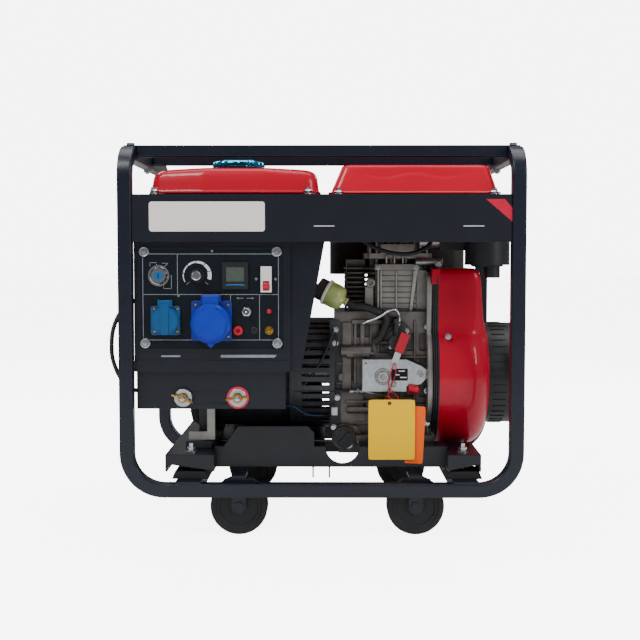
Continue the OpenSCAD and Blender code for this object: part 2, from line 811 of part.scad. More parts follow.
// Square outlet flange with its round well and the ears of the lid hinge
module socket_base(base, well_r, depth, ear_w, hinge_z, hinge_out, floor_t) {
    difference() {
        union() {
            linear_extrude(5) rounded_rect(base, base, 5);
            translate([0, 0, -depth]) cylinder(r = well_r - 0.4, h = depth + 1);
            cylinder(r = well_r + 2, h = hinge_out);
            for (s = [-1, 1]) translate([s * (ear_w / 2 - 2) - 1.7, base / 2 - 1.8, 0])
                cube([3.4, hinge_z - base / 2 + 5.6, hinge_out + 4]);
        }
        translate([0, 0, floor_t - depth]) cylinder(r = well_r - 3, h = depth + hinge_out);
        translate([-ear_w, hinge_z, hinge_out]) rotate([0, 90, 0]) cylinder(r = hinge_pin_r + seat, h = 2 * ear_w);
        for (x = [-1, 1], y = [-1, 1])
            translate([x * (base / 2 - 6), y * (base / 2 - 6), 3.5]) cylinder(r = 3, h = 4);
    }
    for (x = [-1, 1], y = [-1, 1])
        translate([x * (base / 2 - 6), y * (base / 2 - 6), 0]) cylinder(r = 2.2, h = 5.2);
}

small_hinge_z = small_base / 2 + 7;
small_hinge_out = 8;
large_hinge_z = large_base / 2 + 6;
large_hinge_out = 14;

module small_socket() color("#0f6da3") {
    on_plate(small_socket_at)
        socket_base(small_base, 20, 26, small_hinge_w, small_hinge_z, small_hinge_out, 3);
}

module large_socket() color("#1b3f9f") {
    on_plate(large_socket_at)
        socket_base(large_base, 28, 40, large_hinge_w, large_hinge_z, large_hinge_out, 3);
}

// Round spring lid on the outlet, with a rib down its middle and its hinge pin
module small_socket_lid() color("#0c74b0") {
    inner = small_hinge_w - 7.6;
    on_plate(small_socket_at) difference() {
        union() {
            translate([0, 0, small_hinge_out + touch]) cylinder(r = small_lid_r, h = 4);
            translate([0, 0, small_hinge_out + touch + 3]) cylinder(r = small_lid_r - 2.5, h = 3);
            translate([0, 2, small_hinge_out + touch + 3.4])
                linear_extrude(4.6) square([13, 2 * small_lid_r + 4], center = true);
            translate([0, small_hinge_z / 2 + 6, small_hinge_out + touch + 3])
                cube([inner, small_hinge_z - 8, 5], center = true);
            translate([-inner / 2, small_hinge_z, small_hinge_out]) rotate([0, 90, 0]) cylinder(r = 3.6, h = inner);
            translate([-small_hinge_w / 2, small_hinge_z, small_hinge_out]) rotate([0, 90, 0])
                cylinder(r = hinge_pin_r, h = small_hinge_w);
        }
        translate([0, 0, small_hinge_out - 1]) cylinder(r = small_lid_r - 4, h = 4);
    }
}

// Deep round lid of the large outlet with a lug at its foot
module large_socket_lid() color("#1f49c4") {
    inner = large_hinge_w - 7.6;
    z0 = large_hinge_out + touch;
    on_plate(large_socket_at) translate([0, -large_lid_drop, 0]) difference() {
        union() {
            translate([0, 0, z0]) cylinder(r = large_lid_r, h = 8);
            translate([0, 0, z0 + 8]) cylinder(r1 = large_lid_r, r2 = large_lid_r - 4, h = 5);
            translate([0, 0, z0 + 13]) cylinder(r = large_lid_r - 8, h = 3);
            translate([0, 18, z0 + 10.5]) cube([20, 34, 11], center = true);
            translate([0, -large_lid_r + 1, z0 + 3]) rotate([0, 0, 45]) cube([12, 12, 6], center = true);
            translate([0, large_lid_drop + large_hinge_z - 8, z0 + 4]) cube([inner, 20, 7], center = true);
            translate([-inner / 2, large_lid_drop + large_hinge_z, large_hinge_out]) rotate([0, 90, 0])
                cylinder(r = 4.6, h = inner);
            translate([-large_hinge_w / 2, large_lid_drop + large_hinge_z, large_hinge_out])
                rotate([0, 90, 0]) cylinder(r = hinge_pin_r, h = large_hinge_w);
        }
        translate([0, 0, z0 - 1]) cylinder(r = large_lid_r - 3.5, h = 9);
    }
}

mode_pivot_out = 1;
mode_ball_r = 3;

// Fixed pieces on the plate: mode switch bush, two binding posts, oil lamp and earth stud
module panel_terminals() color("#b9a27a") {
    on_plate(mode_at) difference() {
        union() {
            hex(8.6, 3);
            cylinder(r = 5.8, h = 8);
            translate([0, 0, -20]) cylinder(r = 5.8, h = 21);
        }
        translate([0, 0, mode_pivot_out - 5]) cylinder(r = mode_ball_r + seat, h = 5);
        translate([0, 0, mode_pivot_out]) cylinder(r1 = mode_ball_r + seat, r2 = 5.2, h = 8);
    }
    for (p = [red_post_at, black_post_at]) on_plate(p) {
        cylinder(r = 8, h = 6);
        translate([0, 0, 6]) cylinder(r1 = 7, r2 = 6, h = 8);
        translate([0, 0, -12]) cylinder(r = 3, h = 13);
    }
    on_plate(lamp_at) {
        cylinder(r = 3.8, h = 2);
        translate([0, 0, 2]) sphere(r = 3);
        translate([0, 0, -10]) cylinder(r = 2.6, h = 11);
    }
    on_plate(earth_at) {
        cylinder(r = 7.5, h = 1.2);
        translate([0, 0, 1.2]) hex(6.2, 5);
        translate([0, 0, -10]) cylinder(r = 3, h = 26);
    }
}

// Toggle that swings left and right in its bush
module mode_lever() color("#d6d6d6") {
    on_plate(mode_at) {
        translate([0, 0, mode_pivot_out]) cylinder(r1 = 1.4, r2 = 2.3, h = 17);
        translate([0, 0, mode_pivot_out + 17]) sphere(r = 2.6, $fn = 32);
        translate([0, 0, mode_pivot_out]) sphere(r = mode_ball_r, $fn = 32);
    }
}

// ---------------------------------------------------------------- welding outlets

module weld_box() color("#191c21") {
    difference() {
        box([weld_x0, weld_x1], [-weld_front, -weld_back], [weld_bottom, weld_top]);
        box([weld_x0 + sheet, weld_x1 - sheet], [-weld_front + sheet, -weld_back - sheet],
            [weld_bottom + sheet, weld_top + 1]);
        for (x = stud_xs) on_front(x, weld_front - 5, stud_z) cylinder(r = 10.2, h = 10);
        loom_hole(weld_x0, loom_points[len(loom_points) - 1]);
    }
}

// Welding studs with steel washers, in insulating rings
module weld_studs() color("#c9ccce") {
    for (i = [0, 1]) on_front(stud_xs[i], weld_front, stud_z) {
        difference() {
            union() {
                cylinder(r = i == 0 ? 18 : 20, h = 4);
                translate([0, 0, -8]) cylinder(r = 10, h = 9);
            }
            translate([0, 0, -9]) cylinder(r = stud_r + 0.1, h = 20);
        }
        translate([0, 0, 4]) difference() {
            cylinder(r = 16, h = 2.5);
            translate([0, 0, -1]) cylinder(r = stud_r + 0.1, h = 5);
        }
        translate([0, 0, -22]) cylinder(r = stud_r, h = 46);
        translate([0, 0, -16]) hex(9, 7.8);
    }
}

wing_nut_out = 6.5 + touch;

// Brass wing nut that clamps a welding cable lug
module wing_nut(x, tilt) color("#c79a3c") {
    on_front(x, weld_front + wing_nut_out, stud_z) rotate([0, 0, tilt]) difference() {
        union() {
            cylinder(r1 = 9.5, r2 = 8, h = 10);
            for (s = [-1, 1]) translate([s * 2, 0, 2]) rotate([90, 0, 0])
                linear_extrude(3, center = true) polygon([[0, 0], [s * 12, 1], [s * (wing_span / 2 - 3), 6],
                    [s * (wing_span / 2 - 2), 11], [s * 13, 10], [s * 5, 7]]);
        }
        translate([0, 0, -1]) cylinder(r = stud_r + seat, h = 14);
    }
}

// Ribbed loom from the control box to the welding box, bulging past the left upright
loom_y = -y_in + loom_r + 6;
loom_points = [
    [box_x0 - 2, loom_y, 424], [box_x0 - 16, loom_y, 418], [-x_out - 6, loom_y, 398],
    [-x_out - loom_reach + loom_r + 3, loom_y, 372], [-x_out - loom_reach + loom_r, loom_y, 345],
    [-x_out - loom_reach + loom_r + 2, loom_y, 318], [-x_out - 6, loom_y, 288],
    [box_x0 - 14, loom_y, 266], [weld_x0 - 1.5, loom_y, 262]];

module loom_hole(x, p) {
    translate([x - 6, p[1], p[2]]) rotate([0, 90, 0]) cylinder(r = loom_r + touch, h = 12);
}

module wiring_loom() color("#16181b") {
    q = concat([loom_points[0] + [8, 0, 0]], spline(loom_points, 3),
        [loom_points[len(loom_points) - 1] + [8, 0, 0]]);
    sweep_tube(q, loom_r, [0, 1, 0], 10);
}

// ---------------------------------------------------------------- engine

module case_pocket(x, z, w, h) {
    on_front(x, -case_front - 5, z) linear_extrude(12) rounded_rect(w, h, 5);
}

// Cast crankcase, ribbed outside and hollow inside
module crankcase() color("#8d8780") {
    x0 = engine_x0;
    x1 = engine_x1;
    difference() {
        union() {
            box([x0, x1], [case_front, case_back], [case_bottom, case_top]);
            box([x0 + 40, x1 - 6], [case_front - 20, case_back + 26], [case_bottom, case_bottom + 12]);
            box([x0 + 8, x1 - 30], [case_front + 10, case_back - 10], [case_bottom - 26, case_bottom + 1]);
            along_x(x1 - 11, crank_y, crank_z) cylinder(r = 123, h = 15);
            for (x = [x0 + 14, x0 + 60]) on_front(x, -case_front, crank_z) cylinder(r = 7, h = 6);
            along_x(x0 + 12, case_front - 4, crank_z + 50) cylinder(r = 11, h = 56);
            on_front(filler_at[0], -case_front, filler_at[1]) cylinder(r = 20, h = 22);
            along_x(x0 + 24, case_front - 2, crank_z - 62) cylinder(r = 7, h = 62);
        }
        box([x0 + case_wall, x1 - case_wall], [case_front + case_wall, case_back - case_wall],
            [case_bottom + case_wall, case_top - case_wall]);
        along_x(x0 - 5, crank_y, crank_z) cylinder(r = shaft_r + seat, h = x1 - x0 + 30);
        translate([cylinder_x, crank_y, case_top - 30]) cylinder(r = bore_r + 6.2, h = 50);
        for (row = [0:3], col = [0:1])
            case_pocket(x0 + 142 + 27 * col, crank_z - 66 + 44 * row, 19, 34);
        for (row = [0, 1])
            case_pocket(x0 + 100, crank_z + 60 + 40 * row, 38, 30);
        case_pocket(x0 + 28, crank_z + 14, 26, 44);
        case_pocket(x0 + 74, crank_z - 40, 40, 40);
        case_pocket(x0 + 52, crank_z + 92, 34, 34);
        on_front(filler_at[0], -case_front + 6, filler_at[1]) cylinder(r = 13.2, h = 20);
        on_front(filler_at[0], -case_front - 12, filler_at[1]) cylinder(r = 4, h = 30);
    }
}

// Finned barrel with its liner
module cylinder_fins() {
    n = floor((cylinder_top - case_top - 12) / fin_pitch);
    for (k = [0:n - 1])
        translate([cylinder_x, crank_y, case_top + 8 + k * fin_pitch])
            linear_extrude(fin_t) {
                rounded_rect(128, 138, 22);
                translate([-78, 8]) square([48, 100], center = true);
            }
    translate([cylinder_x - 80, crank_y + 12, (case_top + cylinder_top) / 2 + 2])
        cube([36, 70, cylinder_top - case_top - 8], center = true);
}

module cylinder_barrel() {
    translate([cylinder_x, crank_y, case_top]) {
        cylinder(r = bore_r + 12, h = cylinder_top - case_top);
        translate([0, 0, -24]) cylinder(r = bore_r + 6, h = 30);
        linear_extrude(6) rounded_rect(120, 130, 16);
        for (s = [-1, 1]) translate([s * 47, s * 47, 0]) cylinder(r = 8, h = cylinder_top - case_top);
        for (s = [-1, 1]) translate([s * 47, -s * 47, 0]) cylinder(r = 8, h = cylinder_top - case_top);
        for (x = [-42, -14, 14, 42])
            translate([x, -64, (cylinder_top - case_top) / 2]) cube([4, 14, cylinder_top - case_top], center = true);
    }
}

module cylinder_node() color("#9b948c") {
    difference() {
        union() {
            cylinder_fins();
            cylinder_barrel();
        }
        translate([cylinder_x, crank_y, case_top - 30]) cylinder(r = bore_r, h = 200);
    }
}

module head_fins() {
    for (x = [-54:12:54])
        translate([cylinder_x + x, crank_y, cylinder_top + head_h / 2 - 6])
            cube([3, 134, head_h - 14], center = true);
}

// Cylinder head with upright fins, rocker cover, injector and the two ports
module cylinder_head() color("#a39c93") {
    difference() {
        union() {
            translate([cylinder_x, crank_y, cylinder_top]) linear_extrude(10) rounded_rect(128, 138, 12);
            translate([cylinder_x, crank_y, cylinder_top]) linear_extrude(head_h) rounded_rect(96, 104, 12);
            head_fins();
            translate([cylinder_x, crank_y, cylinder_top + head_h - 12]) linear_extrude(12)
                rounded_rect(118, 124, 14);
            translate([cylinder_x, crank_y, cylinder_top + head_h - 1]) linear_extrude(15)
                rounded_rect(96, 100, 18);
            along_x(cylinder_x + 40, crank_y - 56, intake_z) cylinder(r = 15, h = 38);
            translate([cylinder_x, crank_y + 50, cylinder_top + 24]) rotate([-90, 0, 0])
                cylinder(r = 17, h = muffler_y[0] - crank_y - 50);
            translate([cylinder_x - 12, crank_y - 50, cylinder_top + 20]) rotate([20, 0, 0])
                cylinder(r = 8, h = 34);
        }
        translate([cylinder_x, crank_y + 60, cylinder_top + 24]) rotate([-90, 0, 0])
            cylinder(r = 13, h = 40);
        along_x(cylinder_x + 62, crank_y - 56, intake_z) cylinder(r = 11, h = 20);
    }
}

piston_pin_z = crank_z - stroke / 2 + 118;
crown_h = 34;
skirt = 22;

// Piston at the bottom of its stroke, with ring grooves and a hollow skirt
module piston() color("#b5b5b2") {
    translate([cylinder_x, crank_y, piston_pin_z]) difference() {
        translate([0, 0, -skirt]) cylinder(r = bore_r - seat, h = crown_h + skirt);
        translate([0, 0, -skirt - 1]) cylinder(r = bore_r - 6, h = crown_h + skirt - 12);
        for (z = [0, 6, 12]) translate([0, 0, crown_h - 6 - z]) difference() {
            cylinder(r = bore_r + 1, h = 2);
            translate([0, 0, -1]) cylinder(r = bore_r - 2.5, h = 4);
        }
    }
    translate([cylinder_x - bore_r + 3, crank_y, piston_pin_z]) rotate([0, 90, 0])
        cylinder(r = 10, h = 2 * bore_r - 6);
}

// Crankshaft through engine and alternator, crank pin down
module crankshaft() color("#a9a9a6") {
    throw = stroke / 2;
    along_x(alt_x0 + 8, crank_y, crank_z) cylinder(r = 14, h = engine_x0 - alt_x0 - 6);
    along_x(engine_x0 - 2, crank_y, crank_z) cylinder(r = shaft_r, h = cylinder_x - 36 - engine_x0 + 4);
    along_x(cylinder_x + 34, crank_y, crank_z) cylinder(r = shaft_r, h = engine_x1 - cylinder_x - 34 + 8);
    along_x(engine_x1 + 6, crank_y, crank_z) cylinder(r = 15, h = recoil_x0 - engine_x1 - 20);
    along_x(cylinder_x - 16, crank_y, crank_z - throw) cylinder(r = 18, h = 32);
    for (x = [cylinder_x - 36, cylinder_x + 15])
        along_x(x, crank_y, crank_z) linear_extrude(21) difference() {
            circle(r = throw + 19);
            for (s = [-1, 1]) translate([throw + 4, s * 46]) circle(r = 22);
        }
}

flywheel_x0 = engine_x1 + 14;

// Flywheel with cast fan blades
module flywheel() color("#5d5f62") {
    difference() {
        union() {
            along_x(flywheel_x0, crank_y, crank_z) cylinder(r = 112, h = 22);
            along_x(flywheel_x0 + 20, crank_y, crank_z) cylinder(r = 34, h = 30);
            for (a = [0:24:336]) translate([flywheel_x0 + 20, crank_y, crank_z]) rotate([a, 0, 0])
                translate([17, 0, 84]) rotate([0, 0, 12]) cube([34, 3, 46], center = true);
        }
        along_x(flywheel_x0 - 2, crank_y, crank_z) cylinder(r = 15, h = 60);
    }
}

shroud_x0 = engine_x1 + 4 + touch;
shroud_top = 482;

// Profile of the dished shroud, radius against length, shrunk by inset
module shroud_shell(r, x1, inset) {
    along_x(shroud_x0, crank_y, crank_z) rotate_extrude($fn = 96) polygon(concat(
        [[0, inset > 0 ? -1 : 0], [r - inset, inset > 0 ? -1 : 0], [r - inset, x1 - shroud_x0 - 44]],
        [for (a = [10:10:80]) [r - inset - 44 + 44 * cos(a), x1 - shroud_x0 - 44 + (44 - inset) * sin(a)]],
        [[r - inset - 50, x1 - shroud_x0 - inset], [0, x1 - shroud_x0 - inset]]));
}

module shroud_duct(inset) {
    box([shroud_x0 - (inset > 0 ? 1 : 0), recoil_x0 - 22 - inset],
        [crank_y - 112 + inset, crank_y + 70 - inset], [crank_z, shroud_top - inset]);
}

// Red blower housing round the flywheel, with the duct that feeds the cylinder
module fan_shroud() color("#c4122f") {
    difference() {
        union() {
            shroud_shell(shroud_r, recoil_x0, 0);
            shroud_duct(0);
        }
        shroud_shell(shroud_r, recoil_x0, 2);
        shroud_duct(2);
        along_x(recoil_x0 - 6, crank_y, crank_z) cylinder(r = recoil_r - 16, h = 10);
    }
    ring_x(shroud_x0, shroud_x0 + 2, shroud_r - 1, 98);
    for (a = [66, 130, 220, 304]) translate([shroud_x0, crank_y, crank_z]) rotate([a, 0, 0])
        translate([0, 0, shroud_r]) difference() {
            translate([0, -8, -3]) cube([3, 16, 11]);
            translate([-1, 0, 3]) rotate([0, 90, 0]) cylinder(r = 3, h = 6);
        }
}

// Louvred cup of the recoil starter
module recoil_starter() color("#1b1d20") {
    h = recoil_x1 - recoil_x0 - touch;
    difference() {
        along_x(recoil_x0 + touch, crank_y, crank_z) {
            cylinder(r = recoil_r, h = h - 5);
            translate([0, 0, h - 5]) cylinder(r1 = recoil_r, r2 = recoil_r - 5, h = 5);
        }
        along_x(recoil_x0 - 1, crank_y, crank_z) cylinder(r = recoil_r - 2.5, h = h - 1.5);
        for (top = [0, 180], k = [-2:2], s = [0, 1])
            translate([recoil_x0, crank_y, crank_z]) rotate([top + k * 9, 0, 0])
                translate([14 + 20 * s, 0, recoil_r]) cube([15, 5, 12], center = true);
        for (a = [0:30:330]) translate([recoil_x1 - 8, crank_y, crank_z]) rotate([a, 0, 0])
            translate([0, 0, 62]) cube([20, 6, 34], center = true);
        on_front(rope_x, -crank_y + recoil_r - 30, rope_z) cylinder(r = 3, h = 40);
    }
    on_front(rope_x, -crank_y + recoil_r - 10, rope_z) difference() {
        cylinder(r = 8, h = 14);
        translate([0, 0, -1]) cylinder(r = 3, h = 20);
    }
    along_x(recoil_x0 + 18, crank_y, crank_z) cylinder(r = 16, h = h - 19);
}

rope_x = recoil_x1 - 13;
rope_z = crank_z + 24;
rope_len = 170;
grip_front = recoil_r - crank_y + 22;
recoil_pull = 150;

// Starter grip with the straight end of its rope
module recoil_handle() color("#141618") {
    on_front(rope_x, grip_front - 18, rope_z) {
        translate([0, 0, touch]) cylinder(r = 7, h = 12);
        translate([-3, 0, 15]) rotate([90, 0, 0]) translate([3, 0, -38]) cylinder(r = 8, h = 76);
        translate([0, 0, -rope_len]) cylinder(r = 2, h = rope_len + 10);
    }
}

muffler_y = [64, 168];
muffler_x = [16, 292];

// Pressed muffler at the back of the head with its tail pipe
module muffler() color("#2a2b2d") {
    z0 = head_top - 80;
    translate([(muffler_x[0] + muffler_x[1]) / 2, (muffler_y[0] + muffler_y[1]) / 2, z0])
        difference() {
            linear_extrude(114) rounded_rect(muffler_x[1] - muffler_x[0], muffler_y[1] - muffler_y[0], 26);
            translate([0, 0, 2]) linear_extrude(110)
                rounded_rect(muffler_x[1] - muffler_x[0] - 4, muffler_y[1] - muffler_y[0] - 4, 24);
            tail_at(z0) cylinder(r = tail_r - 1.5, h = 20);
            translate([cylinder_x - (muffler_x[0] + muffler_x[1]) / 2, -70, cylinder_top + 24 - z0])
                rotate([-90, 0, 0]) cylinder(r = 13, h = 30);
        }
    translate([(muffler_x[0] + muffler_x[1]) / 2, (muffler_y[0] + muffler_y[1]) / 2, z0])
        tail_at(z0) difference() {
            cylinder(r = tail_r, h = tail_l);
            translate([0, 0, -1]) cylinder(r = tail_r - 1.5, h = tail_l + 2);
        }
}

tail_r = 14;
tail_l = 52;

module tail_at(z0) {
    translate([98, (muffler_y[1] - muffler_y[0]) / 2 - 2, 74]) rotate([-90, 0, 0]) children();
}

cleaner_x = 312;
cleaner_y = -96;
cleaner_z0 = 488;
cleaner_top = beam_top - 22;
intake_x1 = cylinder_x + 78;
intake_z = cylinder_top + 34;

// Air cleaner canister with its inlet spout and the elbow to the head
module air_cleaner() color("#191c1f") {
    difference() {
        union() {
            translate([cleaner_x, cleaner_y, cleaner_z0]) cylinder(r = 42, h = cleaner_top - cleaner_z0);
            translate([cleaner_x, cleaner_y, cleaner_top - 26]) cylinder(r = 45, h = 8);
            translate([cleaner_x, cleaner_y, cleaner_z0 - 3]) cylinder(r = 30, h = 4);
            translate([cleaner_x + 8, cleaner_y - 10, cleaner_z0 - 24]) cylinder(r = 15, h = 26);
            box([intake_x1, cleaner_x - 10], [cleaner_y + 14, cleaner_y + 66],
                [intake_z - 18, cleaner_top]);
        }
        translate([cleaner_x, cleaner_y, cleaner_z0 + 3]) cylinder(r = 39, h = cleaner_top - cleaner_z0 - 6);
        translate([cleaner_x + 8, cleaner_y - 10, cleaner_z0 - 25]) cylinder(r = 12, h = 34);
        box([intake_x1 + 3, cleaner_x], [cleaner_y + 17, cleaner_y + 63], [intake_z - 15, cleaner_top - 3]);
        along_x(intake_x1 - 1, crank_y - 56, intake_z) cylinder(r = 11, h = 8);
    }
}

pump_at = [engine_x0 + 116, crank_z + 66];

// Injection pump body on the crankcase, with its delivery union and two bolts
module injection_pump() color("#26282b") {
    on_front(pump_at[0], -case_front + touch, pump_at[1]) {
        cylinder(r = 24, h = 8);
        translate([0, 0, 7]) cylinder(r = 14, h = 12);
        for (s = [-1, 1]) translate([s * 18, s * 8, 7]) hex(4.5, 5);
        translate([0, 8, 9]) rotate([-90, 0, 0]) cylinder(r = 6, h = 30);
        translate([0, 36, 9]) rotate([-90, 0, 0]) cylinder(r = 8, h = 9);
        translate([-42, 0, 9]) rotate([0, 90, 0]) cylinder(r = 4, h = 30);
    }
}

bracket_x = [engine_x0 + 52, engine_x0 + 134];
bracket_z = [crank_z - 24, crank_z + 36];
bracket_out = -case_front + 30;

// Bent steel plate of the speed control with its two spacers
module speed_bracket() color("#a8adb0") {
    tab = [bracket_x[1] + 34, crank_z + 6];
    on_front(0, bracket_out, 0) difference() {
        union() {
            linear_extrude(2) polygon([[bracket_x[0], bracket_z[0]], [bracket_x[1], bracket_z[0]],
                [bracket_x[1], bracket_z[1]], [bracket_x[0], bracket_z[1]]]);
            translate([bracket_x[0], bracket_z[1] - 2, -14]) cube([bracket_x[1] - bracket_x[0], 2, 15]);
            translate([bracket_x[1] - 2, bracket_z[0], -16]) cube([2, bracket_z[1] - bracket_z[0], 17]);
            translate([0, 0, -16]) linear_extrude(2) polygon([[bracket_x[1] - 2, bracket_z[0] + 8],
                [tab[0] - 6, tab[1] - 18], [tab[0] + 6, tab[1] - 6], [tab[0] + 6, tab[1] + 8],
                [tab[0] - 4, tab[1] + 16], [bracket_x[1] - 2, bracket_z[1]]]);
        }
        translate([bracket_x[0] + 6, bracket_z[1] - 7, -1]) cylinder(r = 2, h = 4);
        translate([lever_at[0], lever_at[1], -1]) cylinder(r = 4 + seat, h = 4);
    }
    for (p = [[bracket_x[0] + 38, bracket_z[0] + 28], [bracket_x[0] + 58, bracket_z[0] + 14]])
        on_front(p[0], -case_front, p[1]) cylinder(r = 7, h = bracket_out + case_front);
    on_front(tab[0] - 6, -case_front, tab[1]) cylinder(r = 6, h = bracket_out + case_front - 16);
    on_front(bracket_x[0] + 38, bracket_out + 2, bracket_z[0] + 28) {
        cylinder(r = 15, h = 3);
        translate([0, 0, 3]) hex(10, 6);
    }
    on_front(tab[0] - 6, bracket_out - 14, tab[1]) hex(7.5, 6);
}

lever_at = [bracket_x[0] + 58, bracket_z[1] - 9];
lever_lean = -21;
tag_at = [bracket_x[0] + 52, 187];
tag_front = -bed_rail_ys[0] + 4;
tag_hole = [-4, 49];
string_points = [[tag_at[0] - 2, -bracket_out - 2.15, bracket_z[0] + 4],
    [tag_at[0] - 3, -bracket_out - 14, bracket_z[0] + 2], [tag_at[0] - 4, -tag_front + 10, bracket_z[0] - 4],
    [tag_at[0] - 4, -tag_front - 1, tag_at[1] + tag_hole[1] + 3],
    [tag_at[0] - 4, -tag_front + 0.6, tag_at[1] + tag_hole[1]],
    [tag_at[0] - 4, -tag_front + 3.4, tag_at[1] + tag_hole[1]]];

// Speed lever: steel blade with a red grip, turning on a pin in the bracket
module speed_lever() color("#b3202f") {
    on_front(lever_at[0], bracket_out + 2 + touch, lever_at[1]) {
        translate([0, 0, -6]) cylinder(r = 4, h = 12);
        rotate([0, 0, lever_lean]) {
            translate([-6, -8, 0]) cube([12, 36, 3]);
            translate([-8.5, 26, -3]) cube([17, 36, 9]);
        }
    }
}

filler_at = [engine_x0 + 18, case_bottom + 8];

// Oil filler cap with a finger bar
module oil_filler_cap() color("#16181a") {
    on_front(filler_at[0], -case_front + 22 + touch, filler_at[1]) {
        cylinder(r = 18, h = 5);
        rotate([0, 0, 50]) translate([0, 0, 7]) cube([28, 5, 6], center = true);
        translate([0, 0, -14]) cylinder(r = 13, h = 15);
        translate([0, 0, -30]) cylinder(r = 2.5, h = 20);
    }
}

// ---------------------------------------------------------------- fuel line

filter_top = [-8, -104, 446];
filter_dir = unit([52, -10, -26]);

module filter_axis() {
    translate(filter_top) rotate([0, acos(filter_dir[2]), atan2(filter_dir[1], filter_dir[0])]) children();
}

// Fuel filter: dark head, clear bowl and a ring between them
module fuel_filter() color("#b9c66a") {
    filter_axis() {
        cylinder(r = 21, h = 18);
        translate([0, 0, 18]) cylinder(r = 24, h = 5);
        translate([0, 0, 23]) cylinder(r = 22, h = 22);
        translate([0, 0, 45]) cylinder(r1 = 22, r2 = 12, h = 9);
        translate([0, 0, 54]) cylinder(r = 5, h = 10);
    }
}

filter_end = filter_top + filter_dir * 64.3;
pump_inlet = [pump_at[0] - 42 - touch, case_front - touch - 9, pump_at[1]];
supply_points = [filter_end, filter_end + filter_dir * 14, [78, -118, 398], [86, -120, 372],
    [pump_inlet[0] - 16, case_front - 12, pump_inlet[2] + 6], pump_inlet + [-7, 0, 0], pump_inlet];
tank_outlet = [-60, -100, flange_z + flange_t - tank_drop - touch];
feed_points = [tank_outlet, tank_outlet + [0, 0, -22], [-58, -104, 506], [-38, -102, 466],
    filter_top - filter_dir * 14, filter_top - filter_dir * touch];
return_points = [[-18, -120, flange_z - 26], [8, -122, flange_z - 32], [48, -134, 560], [84, -142, 528],
    [122, -146, 512], [162, -144, 509], [196, -130, 522], [206, -104, 544],
    [190, -86, head_top + 6], [180, crank_y - 60, head_top + 6], [180, crank_y - 50 - touch, head_top + 6]];

// Rubber hoses: tank to filter, filter to pump, and the slack return line over the head
module fuel_hoses() color("#17191c") {
    sweep_tube(spline(supply_points, 3), 5.5, [0, 1, 0]);
    sweep_tube(spline(feed_points, 3), 5, [0, 1, 0]);
    sweep_tube(spline(return_points, 3), 4, [0, 0.3, 1]);
}

// ---------------------------------------------------------------- alternator

alt_x0 = -252;
alt_x1 = engine_x0;
alt_foot_x = cross_xs[0] + 9;

module ring_x(x0, x1, r, inner) {
    difference() {
        along_x(x0, crank_y, crank_z) cylinder(r = r, h = x1 - x0, $fn = 96);
        along_x(x0 - 1, crank_y, crank_z) cylinder(r = inner, h = x1 - x0 + 2, $fn = 96);
    }
}

// Cast end brackets and wrap of the alternator, with louvres at the engine end and two feet
module alternator_housing() color("#9a938e") {
    difference() {
        union() {
            along_x(alt_x0, crank_y, crank_z) cylinder(r = alternator_r - 6, h = 12, $fn = 96);
            ring_x(alt_x0 + 8, -56, alternator_r - 2, alternator_r - 8);
            ring_x(-60, alt_x1, alternator_r + 2, alternator_r - 4);
            ring_x(alt_x1 - 8, alt_x1, alternator_r + 2, shaft_r + 8);
            ring_x(-62, -54, alternator_r + 5, alternator_r - 8);
            ring_x(alt_x0 + 40, alt_x0 + 48, alternator_r + 3, alternator_r - 8);
            for (s = [-1, 1]) alternator_foot(s);
        }
        along_x(alt_x0 - 1, crank_y, crank_z) cylinder(r = 14 + seat, h = 20);
        for (a = [-66:9:66], side = [90, 270])
            translate([-12, crank_y, crank_z]) rotate([side + a, 0, 0])
                translate([0, 0, alternator_r]) cube([52, 7.5, 20], center = true);
    }
}

// L shaped foot that stands on the bed
module alternator_foot(s) {
    y0 = crank_y + s * (alternator_r - 8);
    y1 = y0 + s * 16;
    y2 = y0 + s * 44;
    box([alt_foot_x - 24, alt_foot_x + 24], [min(y0, y2), max(y0, y2)], [bed_top, bed_top + 14]);
    box([alt_foot_x - 2, alt_foot_x + 24], [min(y0, y1), max(y0, y1)], [bed_top, crank_z - 16]);
}

// Laminated stator with its winding heads
module stator() color("#6d4a2c") {
    ring_x(-200, -84, alternator_r - 8.05, 68);
    ring_x(-218, -200, alternator_r - 14, 70);
    ring_x(-84, -68, alternator_r - 14, 70);
}

// Wound rotor with the cooling fan
module rotor() color("#7d7f82") {
    difference() {
        union() {
            along_x(-196, crank_y, crank_z) cylinder(r = 66, h = 108, $fn = 96);
            along_x(-56, crank_y, crank_z) cylinder(r = 92, h = 4, $fn = 96);
            for (a = [0:30:330]) translate([-40, crank_y, crank_z]) rotate([a, 0, 0])
                translate([0, 0, 70]) cube([28, 3, 36], center = true);
            along_x(-90, crank_y, crank_z) cylinder(r = 26, h = 40);
        }
        along_x(-200, crank_y, crank_z) cylinder(r = 14, h = 200);
    }
}

battery_x = [-186, 0];
battery_y = [case_back + 28, tray_y1 - 3];
battery_h = 150;

// Starter battery on the tray, with posts and a hold-down strap
module battery() color("#24272b") {
    z0 = tray_z + 2 + 0.1;
    box(battery_x, battery_y, [z0, z0 + battery_h]);
    box([battery_x[0] + 4, battery_x[1] - 4], [battery_y[0] + 4, battery_y[1] - 4],
        [z0 + battery_h, z0 + battery_h + 8]);
    for (x = [battery_x[0] + 24, battery_x[1] - 24])
        translate([x, battery_y[0] + 24, z0 + battery_h + 6]) cylinder(r = 8, h = 14);
}

